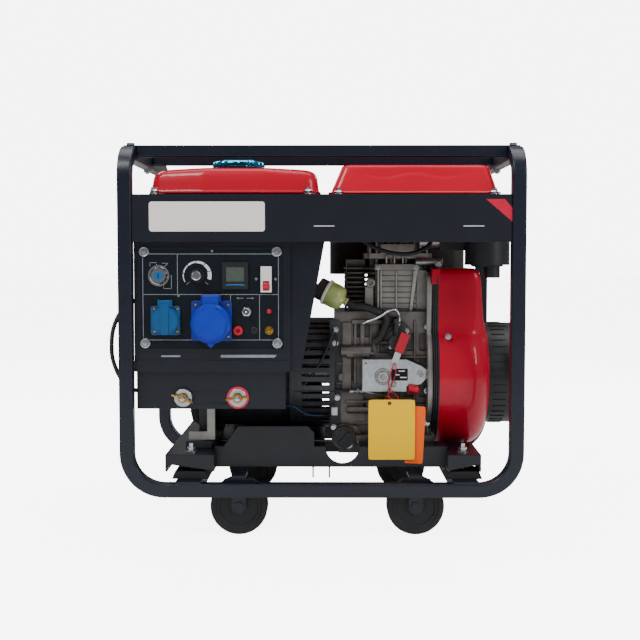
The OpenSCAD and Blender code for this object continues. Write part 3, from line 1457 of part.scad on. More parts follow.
placed() front_hoop();
placed() rear_hoop();
placed() top_bars();
placed() front_beam();
placed() rear_beam();
placed() plates_and_tags();
placed() base_crossmembers();
placed() rubber_mounts();
placed() engine_bed();
placed() frame_bolts();
placed() axle_brackets();
placed() wheel(wheel_xs[0], -1);  // wheel_front_left
placed() wheel(wheel_xs[1], -1);  // wheel_front_right
placed() wheel(wheel_xs[0], 1);  // wheel_rear_left
placed() wheel(wheel_xs[1], 1);  // wheel_rear_right
placed() tank_upper_shell();
placed() tank_lower_shell();
placed() fuel_cap();
placed() cup_bolts();
placed() fuel_filter();
placed() fuel_hoses();
placed() engine_cover();
placed() control_box();
placed() control_plate();
placed() key_switch();
placed() key_barrel();
placed() current_knob();
placed() volt_meter();
placed() breaker();
placed() breaker_rocker();
placed() small_socket();
placed() small_socket_lid();
placed() large_socket();
placed() large_socket_lid();
placed() panel_terminals();
placed() mode_lever();
placed() weld_box();
placed() weld_studs();
placed() wing_nut(stud_xs[0], -20);  // left_wing_nut
placed() wing_nut(stud_xs[1], 5);  // right_wing_nut
placed() wiring_loom();
placed() crankcase();
placed() cylinder_node();  // cylinder
placed() cylinder_head();
placed() piston();
placed() crankshaft();
placed() flywheel();
placed() fan_shroud();
placed() recoil_starter();
placed() recoil_handle();
placed() muffler();
placed() air_cleaner();
placed() injection_pump();
placed() speed_bracket();
placed() speed_lever();
placed() oil_filler_cap();
placed() alternator_housing();
placed() stator();
placed() rotor();
placed() battery();
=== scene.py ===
import math

import bpy
from mathutils import Matrix, Vector


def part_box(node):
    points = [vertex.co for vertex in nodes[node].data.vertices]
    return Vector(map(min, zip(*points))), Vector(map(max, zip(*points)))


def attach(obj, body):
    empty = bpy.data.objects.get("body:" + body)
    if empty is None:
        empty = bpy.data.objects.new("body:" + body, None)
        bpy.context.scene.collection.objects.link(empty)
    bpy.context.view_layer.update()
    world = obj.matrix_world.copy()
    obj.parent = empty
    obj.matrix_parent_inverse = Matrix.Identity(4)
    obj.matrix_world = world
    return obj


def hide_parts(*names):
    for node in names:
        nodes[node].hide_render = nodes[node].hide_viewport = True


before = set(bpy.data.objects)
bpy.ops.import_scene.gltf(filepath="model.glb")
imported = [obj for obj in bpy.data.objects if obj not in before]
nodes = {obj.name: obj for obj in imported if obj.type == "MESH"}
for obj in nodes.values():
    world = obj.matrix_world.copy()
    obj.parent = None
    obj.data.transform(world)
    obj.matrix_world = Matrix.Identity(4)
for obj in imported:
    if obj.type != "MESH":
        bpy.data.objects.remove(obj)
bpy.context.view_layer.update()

# ---------------------------------------------------------------- places
# Sizes below are millimetres about the middle of the tube frame at floor level; at() gives metres.
MM = 0.001
FRONT_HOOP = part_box("front_hoop")
REAR_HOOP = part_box("rear_hoop")
MIDDLE_Y = (FRONT_HOOP[0].y + REAR_HOOP[1].y) / 2


def at(x, y, z):
    return Vector((x * MM, MIDDLE_Y + y * MM, z * MM))


def box_mm(node):
    """Lowest and highest corner of a CAD node in millimetres about the frame's middle."""
    low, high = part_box(node)
    return [[low.x / MM, (low.y - MIDDLE_Y) / MM, low.z / MM],
        [high.x / MM, (high.y - MIDDLE_Y) / MM, high.z / MM]]



# ---------------------------------------------------------------- finishes
def colour(hexcode):
    """sRGB hex to linear RGBA."""
    out = []
    for i in (1, 3, 5):
        c = int(hexcode[i:i + 2], 16) / 255
        out.append(c / 12.92 if c <= 0.04045 else ((c + 0.055) / 1.055) ** 2.4)
    return (*out, 1.0)


def add(tree, kind, inputs=None, **settings):
    """One shader node with its settings, and its inputs set to values or linked to outputs."""
    made = tree.nodes.new(kind)
    for name, value in settings.items():
        setattr(made, name, value)
    for name, value in (inputs or {}).items():
        if isinstance(value, bpy.types.NodeSocket):
            tree.links.new(value, made.inputs[name])
        else:
            made.inputs[name].default_value = value
    return made


def finish(name, **sockets):
    """A material, its node tree and its Principled shader with those sockets set."""
    material = bpy.data.materials.new(name)
    material.use_nodes = True
    tree = material.node_tree
    shader = tree.nodes["Principled BSDF"]
    for key, value in sockets.items():
        shader.inputs[key.replace("_", " ")].default_value = value
    return material, tree, shader


def per_mm(size):
    """Texture scale that gives features of that many millimetres."""
    return 1.0 / (size * MM)


def split_at(tree, shader, direction, place, base, other, width=1.0):
    """Two colours that meet on the plane through place (metres) square to direction."""
    where = add(tree, "ShaderNodeTexCoord")
    along = add(tree, "ShaderNodeVectorMath", {0: where.outputs["Object"], 1: tuple(direction)},
        operation="DOT_PRODUCT")
    middle = Vector(direction).dot(place)
    step = add(tree, "ShaderNodeMapRange", {"Value": along.outputs["Value"],
        "From Min": middle - width * MM / 2, "From Max": middle + width * MM / 2})
    mixed = add(tree, "ShaderNodeMix", {0: step.outputs["Result"], 6: colour(base), 7: colour(other)},
        data_type="RGBA")
    tree.links.new(mixed.outputs[2], shader.inputs["Base Color"])
    return step


def vary(tree, shader, base, other, size, amount=0.5, detail=4.0):
    """Base colour that drifts between two shades in patches of that size in millimetres."""
    where = add(tree, "ShaderNodeTexCoord")
    cloud = add(tree, "ShaderNodeTexNoise", {"Vector": where.outputs["Object"], "Scale": per_mm(size),
        "Detail": detail})
    ramp = add(tree, "ShaderNodeMapRange", {"Value": cloud.outputs["Fac"], "From Min": 0.35,
        "From Max": 0.7, "To Max": amount})
    mixed = add(tree, "ShaderNodeMix", {0: ramp.outputs["Result"], 6: colour(base), 7: colour(other)},
        data_type="RGBA")
    tree.links.new(mixed.outputs[2], shader.inputs["Base Color"])
    return mixed


def grain(tree, shader, size, depth, detail=2.0, roughness=None):
    """Surface grain of that size and depth in millimetres, and a roughness that follows it."""
    where = add(tree, "ShaderNodeTexCoord")
    cloud = add(tree, "ShaderNodeTexNoise", {"Vector": where.outputs["Object"], "Scale": per_mm(size),
        "Detail": detail})
    bump = add(tree, "ShaderNodeBump", {"Height": cloud.outputs["Fac"], "Strength": 1.0,
        "Distance": depth * MM})
    tree.links.new(bump.outputs["Normal"], shader.inputs["Normal"])
    if roughness:
        low, high = roughness
        spread = add(tree, "ShaderNodeMapRange", {"Value": cloud.outputs["Fac"], "From Min": 0.3,
            "From Max": 0.7, "To Min": low, "To Max": high})
        tree.links.new(spread.outputs["Result"], shader.inputs["Roughness"])
    return bump


def powder_coat(name, base, other):
    """Satin powder coat on steel: nearly black, with the fine orange peel that softens highlights."""
    material, tree, shader = finish(name, Roughness=0.38, Specular_IOR_Level=0.4, Coat_Weight=0.15,
        Coat_Roughness=0.2)
    vary(tree, shader, base, other, 60, 0.6)
    grain(tree, shader, 2.2, 0.05, 2.0, (0.30, 0.42))
    return material


def enamel(name, base, other):
    """Sprayed and baked gloss enamel: deep colour under a clear wet-looking film with faint peel."""
    material, tree, shader = finish(name, Roughness=0.4, Specular_IOR_Level=0.2, Coat_Weight=0.38,
        Coat_Roughness=0.05)
    vary(tree, shader, base, other, 120, 0.5)
    grain(tree, shader, 6.0, 0.03, 1.0)
    return material


def cast_metal(name, base, other, rough=(0.36, 0.6), size=1.6, depth=0.16, metallic=0.85):
    """Die cast aluminium: warm grey, matt and grainy, a little darker in patches, with painted shade
    darkening its hollows.
    """
    material, tree, shader = finish(name, Metallic=metallic, Roughness=0.5)
    mixed = vary(tree, shader, base, other, 26, 0.8, 6.0)
    # Painted shade: ambient occlusion darkens the base colour in hollows and between parts, down to 0.3 of
    # it.
    occlusion_shade = add(tree, "ShaderNodeAmbientOcclusion", {"Distance": 0.014}, samples=6)
    painted_shade_factor = add(tree, "ShaderNodeMapRange", {"Value": occlusion_shade.outputs["AO"], "From Min": 0.25,
        "From Max": 0.9, "To Min": 0.30, "To Max": 1.0})
    shade = add(tree, "ShaderNodeMix", {0: 1.0, 6: mixed.outputs[2], 7: painted_shade_factor.outputs["Result"]},
        data_type="RGBA", blend_type="MULTIPLY")
    tree.links.new(shade.outputs[2], shader.inputs["Base Color"])
    grain(tree, shader, size, depth, 3.0, rough)
    return material


def bright_metal(name, base, other, rough=(0.16, 0.34), size=8.0):
    """Plated or turned metal: clear reflections broken by fine handling marks and a faint tint."""
    material, tree, shader = finish(name, Metallic=1.0, Roughness=0.25)
    vary(tree, shader, base, other, size, 0.7)
    grain(tree, shader, 1.2, 0.02, 3.0, rough)
    return material


def moulded(name, base, other, rough=(0.36, 0.5), size=0.9, depth=0.05, **sockets):
    """Moulded plastic or rubber: an even colour with a fine spark-eroded grain."""
    material, tree, shader = finish(name, **sockets)
    vary(tree, shader, base, other, 30, 0.5)
    grain(tree, shader, size, depth, 2.0, rough)
    return material


def printed(name, base, other, rough=(0.38, 0.5)):
    """Screen print or film: flat ink with a hardly visible mottle."""
    material, tree, shader = finish(name, Specular_IOR_Level=0.2)
    vary(tree, shader, base, other, 5, 0.5)
    grain(tree, shader, 0.8, 0.01, 1.0, rough)
    return material


frame_coat = powder_coat("frame_powder_coat", "#0a1120", "#0f182a")
sheet_coat = powder_coat("sheet_powder_coat", "#12151f", "#171a27")
box_coat = powder_coat("box_powder_coat", "#080e1a", "#0c1422")
bed_coat = powder_coat("bed_powder_coat", "#0a0f18", "#101722")
tank_red = enamel("tank_red_enamel", "#bd0026", "#ab0020")
cover_red = enamel("cover_red_enamel", "#c8002a", "#b80024")
shroud_red = enamel("shroud_red_enamel", "#b80028", "#a00020")
zinc = bright_metal("zinc_plate", "#cdd1d6", "#a9b4bb")
brass = bright_metal("turned_brass", "#c59a48", "#a67a30")
chrome = bright_metal("chrome_plate", "#dcdee0", "#c9cdd2", (0.05, 0.12), 20)
steel = bright_metal("machined_steel", "#a9a8a6", "#8f8e8c", (0.25, 0.45))
cap_blue = bright_metal("blue_tinted_chrome", "#3dbdec", "#2a9fd0", (0.10, 0.22), 12)
cast_alloy = cast_metal("cast_aluminium", "#787370", "#5b5855")
cast_panel = cast_metal("cast_aluminium_panel", "#a3a09c", "#8b8884", (0.3, 0.5))
# Painted highlight: a near-white copy of the cast aluminium for the thin raised ribs that catch the light.
highlight_rib_alloy = cast_metal("cast_aluminium_painted_highlight_rib", "#cfcbc6", "#b5b0ab", (0.25, 0.4))
cast_light = cast_metal("cast_aluminium_clean", "#9c9792", "#837e79", (0.32, 0.5))
cast_dark = cast_metal("painted_casting", "#3d4045", "#2f3236", (0.4, 0.6), metallic=0.2)
iron = cast_metal("cast_iron", "#4a4a4c", "#3c3b3b", (0.45, 0.7), 1.2, 0.2)
fin_metal = cast_metal("cast_fins", "#77736e", "#5d5a56")
black_abs = moulded("moulded_black_abs", "#12161a", "#181c21")
rubber = moulded("black_rubber", "#141516", "#1c1d1f", (0.55, 0.75), 1.4, 0.1)
tyre_rubber = moulded("solid_tyre_rubber", "#121417", "#1b1e22", (0.5, 0.68), 2.0, 0.12)
teal = moulded("teal_polyamide", "#004c80", "#00558c", (0.28, 0.4))
royal = moulded("royal_blue_polyamide", "#0a248c", "#0d2b9c", (0.28, 0.42))
royal_lid = moulded("royal_blue_lid", "#0d2ca8", "#1134b4", (0.26, 0.4))
white_abs = moulded("white_abs", "#e2dedc", "#d6d2cf", (0.3, 0.42))
red_abs = moulded("red_plastic", "#c2182e", "#b01226", (0.25, 0.36))
red_ring = moulded("red_insulator", "#dc2f4b", "#cc2540", (0.3, 0.42))
key_blue = moulded("key_blue_plastic", "#1c5f93", "#16507f", (0.25, 0.36))
filter_brown = moulded("filter_head_brown", "#3a3431", "#2e2927", (0.35, 0.5))
filter_bowl = moulded("translucent_bowl", "#c3d184", "#aebd6a", (0.12, 0.22), 6.0, 0.02,
    Transmission_Weight=0.35, Subsurface_Weight=0.2, Subsurface_Scale=0.004)
battery_case = moulded("battery_case", "#1a1d21", "#22262b")
muffler_coat = cast_metal("heat_resistant_black", "#202123", "#2b2a29", (0.55, 0.75), metallic=0.1)
winding = bright_metal("varnished_winding", "#8a4a22", "#5f3016", (0.3, 0.5), 3.0)
pearl = printed("pearl_film", "#f3ebe8", "#ece3e1", (0.2, 0.3))
white_ink = printed("white_ink", "#dfe2e6", "#cfd3d8")
grey_ink = printed("grey_ink", "#8d949b", "#7c838a")
red_ink = printed("red_ink", "#c9203f", "#bd1b38")
panel_black = printed("fine_matt_panel", "#0f161d", "#141c24", (0.34, 0.46))
lcd_glass = printed("lcd_glass", "#4a524c", "#59625a", (0.08, 0.14))
blue_film = printed("blue_film", "#2b78b8", "#2468a6")
card_yellow = printed("yellow_card", "#ffcc00", "#fbc200", (0.5, 0.6))
label_black = printed("black_label", "#101214", "#15181b")
card_orange = printed("orange_card", "#ff6a10", "#f86008", (0.3, 0.4))
string_red = moulded("red_cotton_string", "#c21f33", "#a81a2b", (0.7, 0.9), 0.6, 0.15)
wire_blue = moulded("blue_wire", "#1d3f6e", "#18355e")
gasket = moulded("black_seal", "#17191c", "#202327", (0.4, 0.55))


# Speed lever: a red dipped sleeve over a bright zinc blade, with a crisp edge between them
lever_finish, lever_tree, lever_shader = finish("dipped_lever", Roughness=0.32)
split_at(lever_tree, lever_shader, (0.34, 0, 0.94), at(140, 0, 326), "#b4b8bb", "#b01228")
grain(lever_tree, lever_shader, 1.5, 0.03, 2.0, (0.26, 0.4))


# ---------------------------------------------------------------- piece makers
def piece(name, verts, faces, material, body="machine", smooth=35, edge=0.0, stands_for=(), slot=None):
    """A mesh piece from vertices in metres; edge is the width of its rounded edges in millimetres."""
    mesh = bpy.data.meshes.new(name)
    mesh.from_pydata([tuple(v) for v in verts], [], faces)
    mesh.validate()
    for face in mesh.polygons:
        face.use_smooth = True
    mesh.set_sharp_from_angle(angle=math.radians(smooth))
    made = bpy.data.objects.new(name, mesh)
    bpy.context.scene.collection.objects.link(made)
    made.data.materials.append(material)
    if edge:
        bevel = made.modifiers.new("edge", "BEVEL")
        bevel.width = edge * MM
        bevel.segments = 2
        bevel.limit_method = "ANGLE"
        bevel.angle_limit = math.radians(32)
        made.modifiers.new("shade", "WEIGHTED_NORMAL").keep_sharp = True
    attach(made, body)
    if stands_for:
        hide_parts(*stands_for)
    return made


def loft(rings, closed=True, caps=(True, True)):
    """Vertices and faces of a skin over rings of equal length."""
    verts = [p for ring in rings for p in ring]
    n = len(rings[0])
    faces = []
    for i in range(len(rings) - 1):
        for k in range(n if closed else n - 1):
            j = (k + 1) % n
            faces.append((i * n + k, i * n + j, (i + 1) * n + j, (i + 1) * n + k))
    if caps[0]:
        faces.append(tuple(reversed(range(n))))
    if caps[1]:
        faces.append(tuple(range((len(rings) - 1) * n, len(rings) * n)))
    return verts, faces


def merge(parts):
    """One list of vertices and one of faces from several (vertices, faces)."""
    verts, faces = [], []
    for v, f in parts:
        start = len(verts)
        verts.extend(v)
        faces.extend(tuple(start + i for i in face) for face in f)
    return verts, faces


def basis(direction):
    w = Vector(direction).normalized()
    u = w.cross(Vector((0, 0, 1)) if abs(w.z) < 0.9 else Vector((1, 0, 0))).normalized()
    return u, w.cross(u), w


def turned(base, direction, profile, count=64, flute=None):
    """A turned solid: profile lists (radius, height) in millimetres along direction from base."""
    u, v, w = basis(direction)
    rings = []
    for radius, height in profile:
        ring = []
        for k in range(count):
            a = 2 * math.pi * k / count
            r = radius * (flute(a, radius) if flute else 1)
            ring.append(base + (u * math.cos(a) + v * math.sin(a)) * r * MM + w * height * MM)
        rings.append(ring)
    return loft(rings)


def hexagon(base, direction, across, height, turn=0.0):
    """A hexagon head or nut with its chamfered top."""
    u, v, w = basis(direction)
    rings = []
    for scale, h in ((1.0, 0), (1.0, height * 0.86), (0.88, height)):
        rings.append([base + (u * math.cos(a) + v * math.sin(a)) * across / 1.732 * scale * MM + w * h * MM
            for a in (turn + math.pi * k / 3 for k in range(6))])
    return loft(rings)


def run(*points):
    """Places along a hose or wire."""
    return [at(*p) for p in points]


def arc_line(points, steps=6):
    """A smooth curve through points, with that many steps in each span."""
    out = []
    for i in range(len(points) - 1):
        a, b = points[max(i - 1, 0)], points[i]
        c, d = points[i + 1], points[min(i + 2, len(points) - 1)]
        for k in range(steps):
            t = k / steps
            out.append(0.5 * (2 * b + (c - a) * t + (2 * a - 5 * b + 4 * c - d) * t * t
                + (3 * b - a - 3 * c + d) * t ** 3))
    out.append(points[-1])
    return out


def hose(points, radius, sides=14, rib=None):
    """A closed round tube along points; rib is (pitch, depth) in millimetres on a ribbed sleeve."""
    if rib:
        fine = []
        for a, b in zip(points, points[1:]):
            steps = max(1, int((b - a).length / (rib[0] * MM / 4)))
            fine += [a.lerp(b, k / steps) for k in range(steps)]
        points = fine + [points[-1]]
    rings, travelled = [], 0.0
    u = None
    for i, p in enumerate(points):
        t = (points[min(i + 1, len(points) - 1)] - points[max(i - 1, 0)]).normalized()
        if u is None:
            u = basis(t)[0]
        u = (u - t * u.dot(t)).normalized()
        v = t.cross(u)
        if i:
            travelled += (p - points[i - 1]).length / MM
        r = radius
        if rib:
            r -= rib[1] * (0.5 - 0.5 * math.cos(2 * math.pi * travelled / rib[0]))
        rings.append([p + (u * math.cos(a) + v * math.sin(a)) * r * MM
            for a in (2 * math.pi * k / sides for k in range(sides))])
    return loft(rings)


def slab(outline, front, thickness):
    """A flat piece facing forwards: outline lists (x, z); its front face lies at y = front."""
    near = [at(x, front, z) for x, z in outline]
    far = [at(x, front + thickness, z) for x, z in outline]
    return loft([far, near])


def block(low, high):
    """The eight corners of a block between two corners in millimetres."""
    (x0, y0, z0), (x1, y1, z1) = low, high
    return loft([[at(x0, y0, z), at(x1, y0, z), at(x1, y1, z), at(x0, y1, z)] for z in (z0, z1)])


def rounded(points, radii, steps=6):
    """The polygon of points with each corner rounded to its radius."""
    out = []
    n = len(points)
    for i in range(n):
        p = Vector(points[i])
        a = (Vector(points[i - 1]) - p)
        b = (Vector(points[(i + 1) % n]) - p)
        r = radii[i] if isinstance(radii, (list, tuple)) else radii
        half = a.angle(b) / 2
        cut = min(r / math.tan(half), a.length * 0.49, b.length * 0.49)
        r = cut * math.tan(half)
        centre = p + (a.normalized() + b.normalized()).normalized() * (r / math.sin(half))
        start = p + a.normalized() * cut - centre
        end = p + b.normalized() * cut - centre
        sweep = start.angle_signed(end)
        for k in range(steps + 1):
            turn = Matrix.Rotation(-sweep * k / steps, 2)
            out.append(tuple(centre + turn @ start))
    return out


def plate_outline(x0, x1, z0, z1, r, steps=5):
    return rounded([(x0, z0), (x1, z0), (x1, z1), (x0, z1)], r, steps)


def ribbon(points, width, front, thickness=0.15, closed=False):
    """A printed line along (x, z) points."""
    parts = []
    count = len(points)
    for i in range(count if closed else count - 1):
        a, b = Vector(points[i]), Vector(points[(i + 1) % count])
        along = (b - a).normalized() * width / 2
        side = Vector((-along.y, along.x))
        a, b = a - along, b + along
        parts.append(slab([tuple(a - side), tuple(b - side), tuple(b + side), tuple(a + side)], front,
            thickness))
    return merge(parts)


def dress(node, material, edge=0.5):
    """Gives a CAD node its finish and softens its machined edges."""
    o = nodes[node]
    o.data.materials.clear()
    o.data.materials.append(material)
    weld = o.modifiers.new("weld", "WELD")
    weld.merge_threshold = 1e-5
    if edge:
        bevel = o.modifiers.new("edge", "BEVEL")
        bevel.width = edge * MM
        bevel.segments = 2
        bevel.limit_method = "ANGLE"
        bevel.angle_limit = math.radians(38)
    o.modifiers.new("shade", "WEIGHTED_NORMAL").keep_sharp = True


# ---------------------------------------------------------------- CAD nodes and their finishes
DRESSED = {"front_hoop": (frame_coat, 0), "rear_hoop": (frame_coat, 0), "top_bars": (frame_coat, 0.6),
    "front_beam": (sheet_coat, 0.7), "rear_beam": (sheet_coat, 0.7),
    "base_crossmembers": (frame_coat, 0.6), "rubber_mounts": (rubber, 1.5), "engine_bed": (bed_coat, 0.9),
    "frame_bolts": (zinc, 0.5), "axle_brackets": (frame_coat, 0.6),
    "wheel_front_left": (tyre_rubber, 1.0), "wheel_front_right": (tyre_rubber, 1.0),
    "wheel_rear_left": (tyre_rubber, 1.0), "wheel_rear_right": (tyre_rubber, 1.0),
    "cup_bolts": (zinc, 0.3), "control_box": (box_coat, 0.7), "control_plate": (panel_black, 0.3),
    "key_switch": (chrome, 0.6), "key_barrel": (key_blue, 0.4), "current_knob": (black_abs, 0.6),
    "volt_meter": (black_abs, 0.8), "breaker": (white_abs, 0.6), "breaker_rocker": (red_abs, 0.4),
    "small_socket": (teal, 0.8), "small_socket_lid": (teal, 1.2), "large_socket": (royal, 0.8),
    "large_socket_lid": (royal_lid, 1.6), "mode_lever": (chrome, 0), "weld_box": (box_coat, 0.8),
    "left_wing_nut": (brass, 0.5), "right_wing_nut": (brass, 0.5), "crankcase": (cast_alloy, 1.6),
    "cylinder": (fin_metal, 0.7), "cylinder_head": (cast_light, 1.2), "piston": (steel, 0.3),
    "crankshaft": (steel, 0.5), "flywheel": (iron, 0.8), "recoil_starter": (black_abs, 0.5),
    "recoil_handle": (black_abs, 1.2), "muffler": (muffler_coat, 2.0), "air_cleaner": (black_abs, 1.5),
    "injection_pump": (iron, 0.8), "speed_bracket": (zinc, 0.6), "speed_lever": (lever_finish, 1.0),
    "oil_filler_cap": (black_abs, 1.0), "alternator_housing": (cast_dark, 0.9), "stator": (winding, 0),
    "rotor": (steel, 0.4), "battery": (battery_case, 2.0),}
for node_name, (material, edge) in DRESSED.items():
    dress(node_name, material, edge)

# ---------------------------------------------------------------- fuel tank
tank_low, tank_high = box_mm("tank_upper_shell")
lower_low = box_mm("tank_lower_shell")[0]
TANK_X = (tank_low[0] + tank_high[0]) / 2
TANK_HALF = (tank_high[0] - tank_low[0]) / 2
FLANGE_Z = tank_low[2]
TANK_DEPTH = tank_high[1]


def tank_outline(inset, corner):
    """Plan of the tank: flat middle facet in front and back, sides that fall away from it."""
    w = TANK_HALF + 1 - inset
    d = TANK_DEPTH - 19 - inset
    f = 56
    points = [(-w, -d + 9), (-f, -d), (f, -d), (w, -d + 9), (w, d - 9), (f, d), (-f, d), (-w, d - 9)]
    radii = [corner, 60, 60, corner, corner, 60, 60, corner]
    return rounded(points, radii, 8)


def tank_ring(inset, corner, z, crown):
    ring = []
    for x, y in tank_outline(inset, corner):
        fall = crown * ((x / TANK_HALF) ** 2 * 0.7 + (y / TANK_DEPTH) ** 2 * 0.3)
        ring.append(at(TANK_X + x, y, z - fall))
    return ring


top_z = tank_high[2] - 2.5
upper = [tank_ring(*row) for row in ((-3.0, 21, FLANGE_Z + 2.0, 0), (-1.5, 21, FLANGE_Z + 2.3, 0),
    (-0.3, 21, FLANGE_Z + 3.5, 0), (0.2, 21, FLANGE_Z + 6, 0), (1.6, 21, FLANGE_Z + 18, 0.5),
    (3.4, 21, FLANGE_Z + 31, 2.0), (4.6, 21, top_z - 13, 5.0), (6.0, 21, top_z - 9, 7.0),
    (8.6, 25, top_z - 5.4, 8.0), (12.5, 23, top_z - 2.6, 8.4), (18, 20, top_z - 1.0, 8.6),
    (30, 18, top_z - 0.2, 8.6), (60, 16, top_z, 8.6), (100, 10, top_z, 8.6))]
lower = [tank_ring(*row) for row in ((100, 10, lower_low[2], 0), (40, 20, lower_low[2], 0),
    (26, 24, lower_low[2] + 1, 0), (18, 26, lower_low[2] + 5, 0), (14, 28, lower_low[2] + 12, 0),
    (6, 30, FLANGE_Z - 8, 0), (2, 30, FLANGE_Z - 3, 0), (-3, 30, FLANGE_Z - 2.2, 0))]
flange = rounded([(-TANK_HALF, -TANK_DEPTH), (TANK_HALF, -TANK_DEPTH), (TANK_HALF, TANK_DEPTH),
    (-TANK_HALF, TANK_DEPTH)], 16, 8)
flange_rings = [[at(TANK_X + x * s, y * s, z) for x, y in flange]
    for s, z in ((0.997, FLANGE_Z - 2.0), (1, FLANGE_Z - 1.4), (1, FLANGE_Z + 1.4),
    (0.997, FLANGE_Z + 2.0))]
tank_neck = turned(at(-158, -75, top_z - 6), (0, 0, 1),
    [(37, 0), (35, 3.2), (33, 4.6), (30, 5), (30, 8.4), (28, 8.6)])
piece("fuel_tank", *merge([loft(upper), loft(lower), loft(flange_rings), tank_neck]), tank_red, smooth=50,
    stands_for=("tank_upper_shell", "tank_lower_shell"))

# Filler cap: a plated cap with a fluted rim and a raised bar to grip
cap_low, cap_high = box_mm("fuel_cap")
cap_at = at((cap_low[0] + cap_high[0]) / 2, (cap_low[1] + cap_high[1]) / 2, cap_low[2])
CAP_R = (cap_high[0] - cap_low[0]) / 2


def cap_flute(a, radius):
    return 1 - (0.045 * max(0.0, math.cos(12 * a)) ** 3 if radius > CAP_R * 0.92 else 0)


cap_body = turned(cap_at, (0, 0, 1), [(CAP_R * 0.86, 0), (CAP_R * 0.97, 0.8), (CAP_R, 2.2), (CAP_R, 9.5),
    (CAP_R * 0.985, 11.2), (CAP_R * 0.95, 12.6), (CAP_R * 0.90, 13.4), (CAP_R * 0.80, 13.8),
    (CAP_R * 0.77, 13.2), (CAP_R * 0.74, 13.2), (CAP_R * 0.72, 13.9), (CAP_R * 0.5, 14.4),
    (CAP_R * 0.1, 14.6)], 144, cap_flute)
piece("filler_cap", *cap_body, cap_blue, body="cap", smooth=40, stands_for=("fuel_cap",))
grip = rounded([(-30, -7), (30, -7), (34, 0), (30, 7), (-30, 7), (-34, 0)], 4, 4)
grip_rings = [[cap_at + Vector((x * s, y * s, z)) * MM for x, y in grip]
    for s, z in ((1.0, 14), (1.0, 15.6), (0.95, 16.6), (0.86, 17.0))]
piece("filler_cap_bar", *loft(grip_rings), cap_blue, body="cap", smooth=40)

# ---------------------------------------------------------------- cover over the engine
cover_low, cover_high = box_mm("engine_cover")
COVER_X = (cover_low[0] + cover_high[0]) / 2
COVER_HALF = (cover_high[0] - cover_low[0]) / 2
COVER_D = cover_high[1]
COVER_Z = cover_low[2]
cover_top = cover_high[2] - 1


def dent(x, z):
    """Depth of the shallow pressed wave on the front and back walls of the cover."""
    u = x / COVER_HALF
    line = COVER_Z + 33 + 4.5 * math.cos(2 * math.pi * u * 1.35) * math.exp(-(u * 1.2) ** 2)
    fade = max(0.0, 1 - (abs(u) / 0.62) ** 4)
    if z < line - 1.2:
        return 0.0
    return 1.3 * fade * min(1.0, (z - line + 1.2) / 1.6) * max(0.0, 1 - (z - line) / 15)


def cover_ring(left, right, front, corner, z):
    outline = []
    w0, w1, d = COVER_HALF - left, COVER_HALF - right, COVER_D - front
    corners = [(-w0, -d), (w1, -d), (w1, d), (-w0, d)]
    base = rounded(corners, corner, 7)
    out = []
    n = len(base)
    for i in range(n):
        a, b = Vector(base[i]), Vector(base[(i + 1) % n])
        out.append(a)
        if i % 8 == 7:
            out += [a.lerp(b, k / 40) for k in range(1, 40)]
    for p in out:
        x, y = p
        if abs(abs(y) - d) < 0.01 and front < 45:
            y -= math.copysign(dent(x, z), y)
        outline.append(at(COVER_X + x, y, z))
    return outline


rows = [(0.5, 0.5, 0.5, 9, COVER_Z), (0, 0, 0, 10, COVER_Z + 0.5), (0, 0, 0, 10, COVER_Z + 1.6),
    (0.6, 0.6, 0.6, 10, COVER_Z + 2.1), (3, 1, 17, 12, COVER_Z + 2.3),
    (4.5, 2.2, 19.5, 13, COVER_Z + 3.0), (5.4, 3.0, 21, 14, COVER_Z + 5)]
height = cover_top - 6 - (COVER_Z + 5)
for k in range(1, 23):
    t = k / 22
    rows.append((5.4 + 17.6 * t, 3.0 + 13 * t, 21 + 11 * t, 14, COVER_Z + 5 + height * t))
rows += [(24.4, 17.8, 33.4, 14, cover_top - 3.4), (26.8, 20.2, 35.6, 14, cover_top - 1.4),
    (30, 23.6, 39, 14, cover_top - 0.3), (36, 29, 46, 14, cover_top), (90, 85, 120, 14, cover_top)]
piece("engine_hood", *loft([cover_ring(*row) for row in rows], caps=(False, True)), cover_red, smooth=38,
    stands_for=("engine_cover",))

# ---------------------------------------------------------------- blower shroud
shroud_low, shroud_high = box_mm("fan_shroud")
# The crank axis lies a little in front of the frame's middle
AXIS_Y = -10
AXIS_Z = 276
SHROUD_R = AXIS_Z - shroud_low[2]
SHROUD_X0 = shroud_low[0]
SHROUD_X1 = shroud_high[0]
SHROUD_TOP = shroud_high[2]


def shroud_reach(a):
    """Distance from the crank axis to the shroud's outline; a is 0 straight up, positive backwards."""
    s, c = math.sin(a), math.cos(a)
    reach = SHROUD_R
    if c > 0.05:
        low, high, top = -112.0, 70.0, SHROUD_TOP - AXIS_Z
        along = min(top / c, (high / s if s > 1e-6 else 1e9), (low / s if s < -1e-6 else 1e9))
        reach = max(reach, along)
    return reach


COUNT = 240
angles = [2 * math.pi * k / COUNT for k in range(COUNT)]
raw = [shroud_reach((a + math.pi) % (2 * math.pi) - math.pi) for a in angles]
for _ in range(2):
    raw = [(raw[k - 1] + 2 * raw[k] + raw[(k + 1) % COUNT]) / 4 for k in range(COUNT)]


def shroud_ring(rows_at):
    ring = []
    for a, reach in zip(angles, raw):
        x, r = rows_at(a, reach)
        ring.append(at(x, AXIS_Y + r * math.sin(a), AXIS_Z + r * math.cos(a)))
    return ring


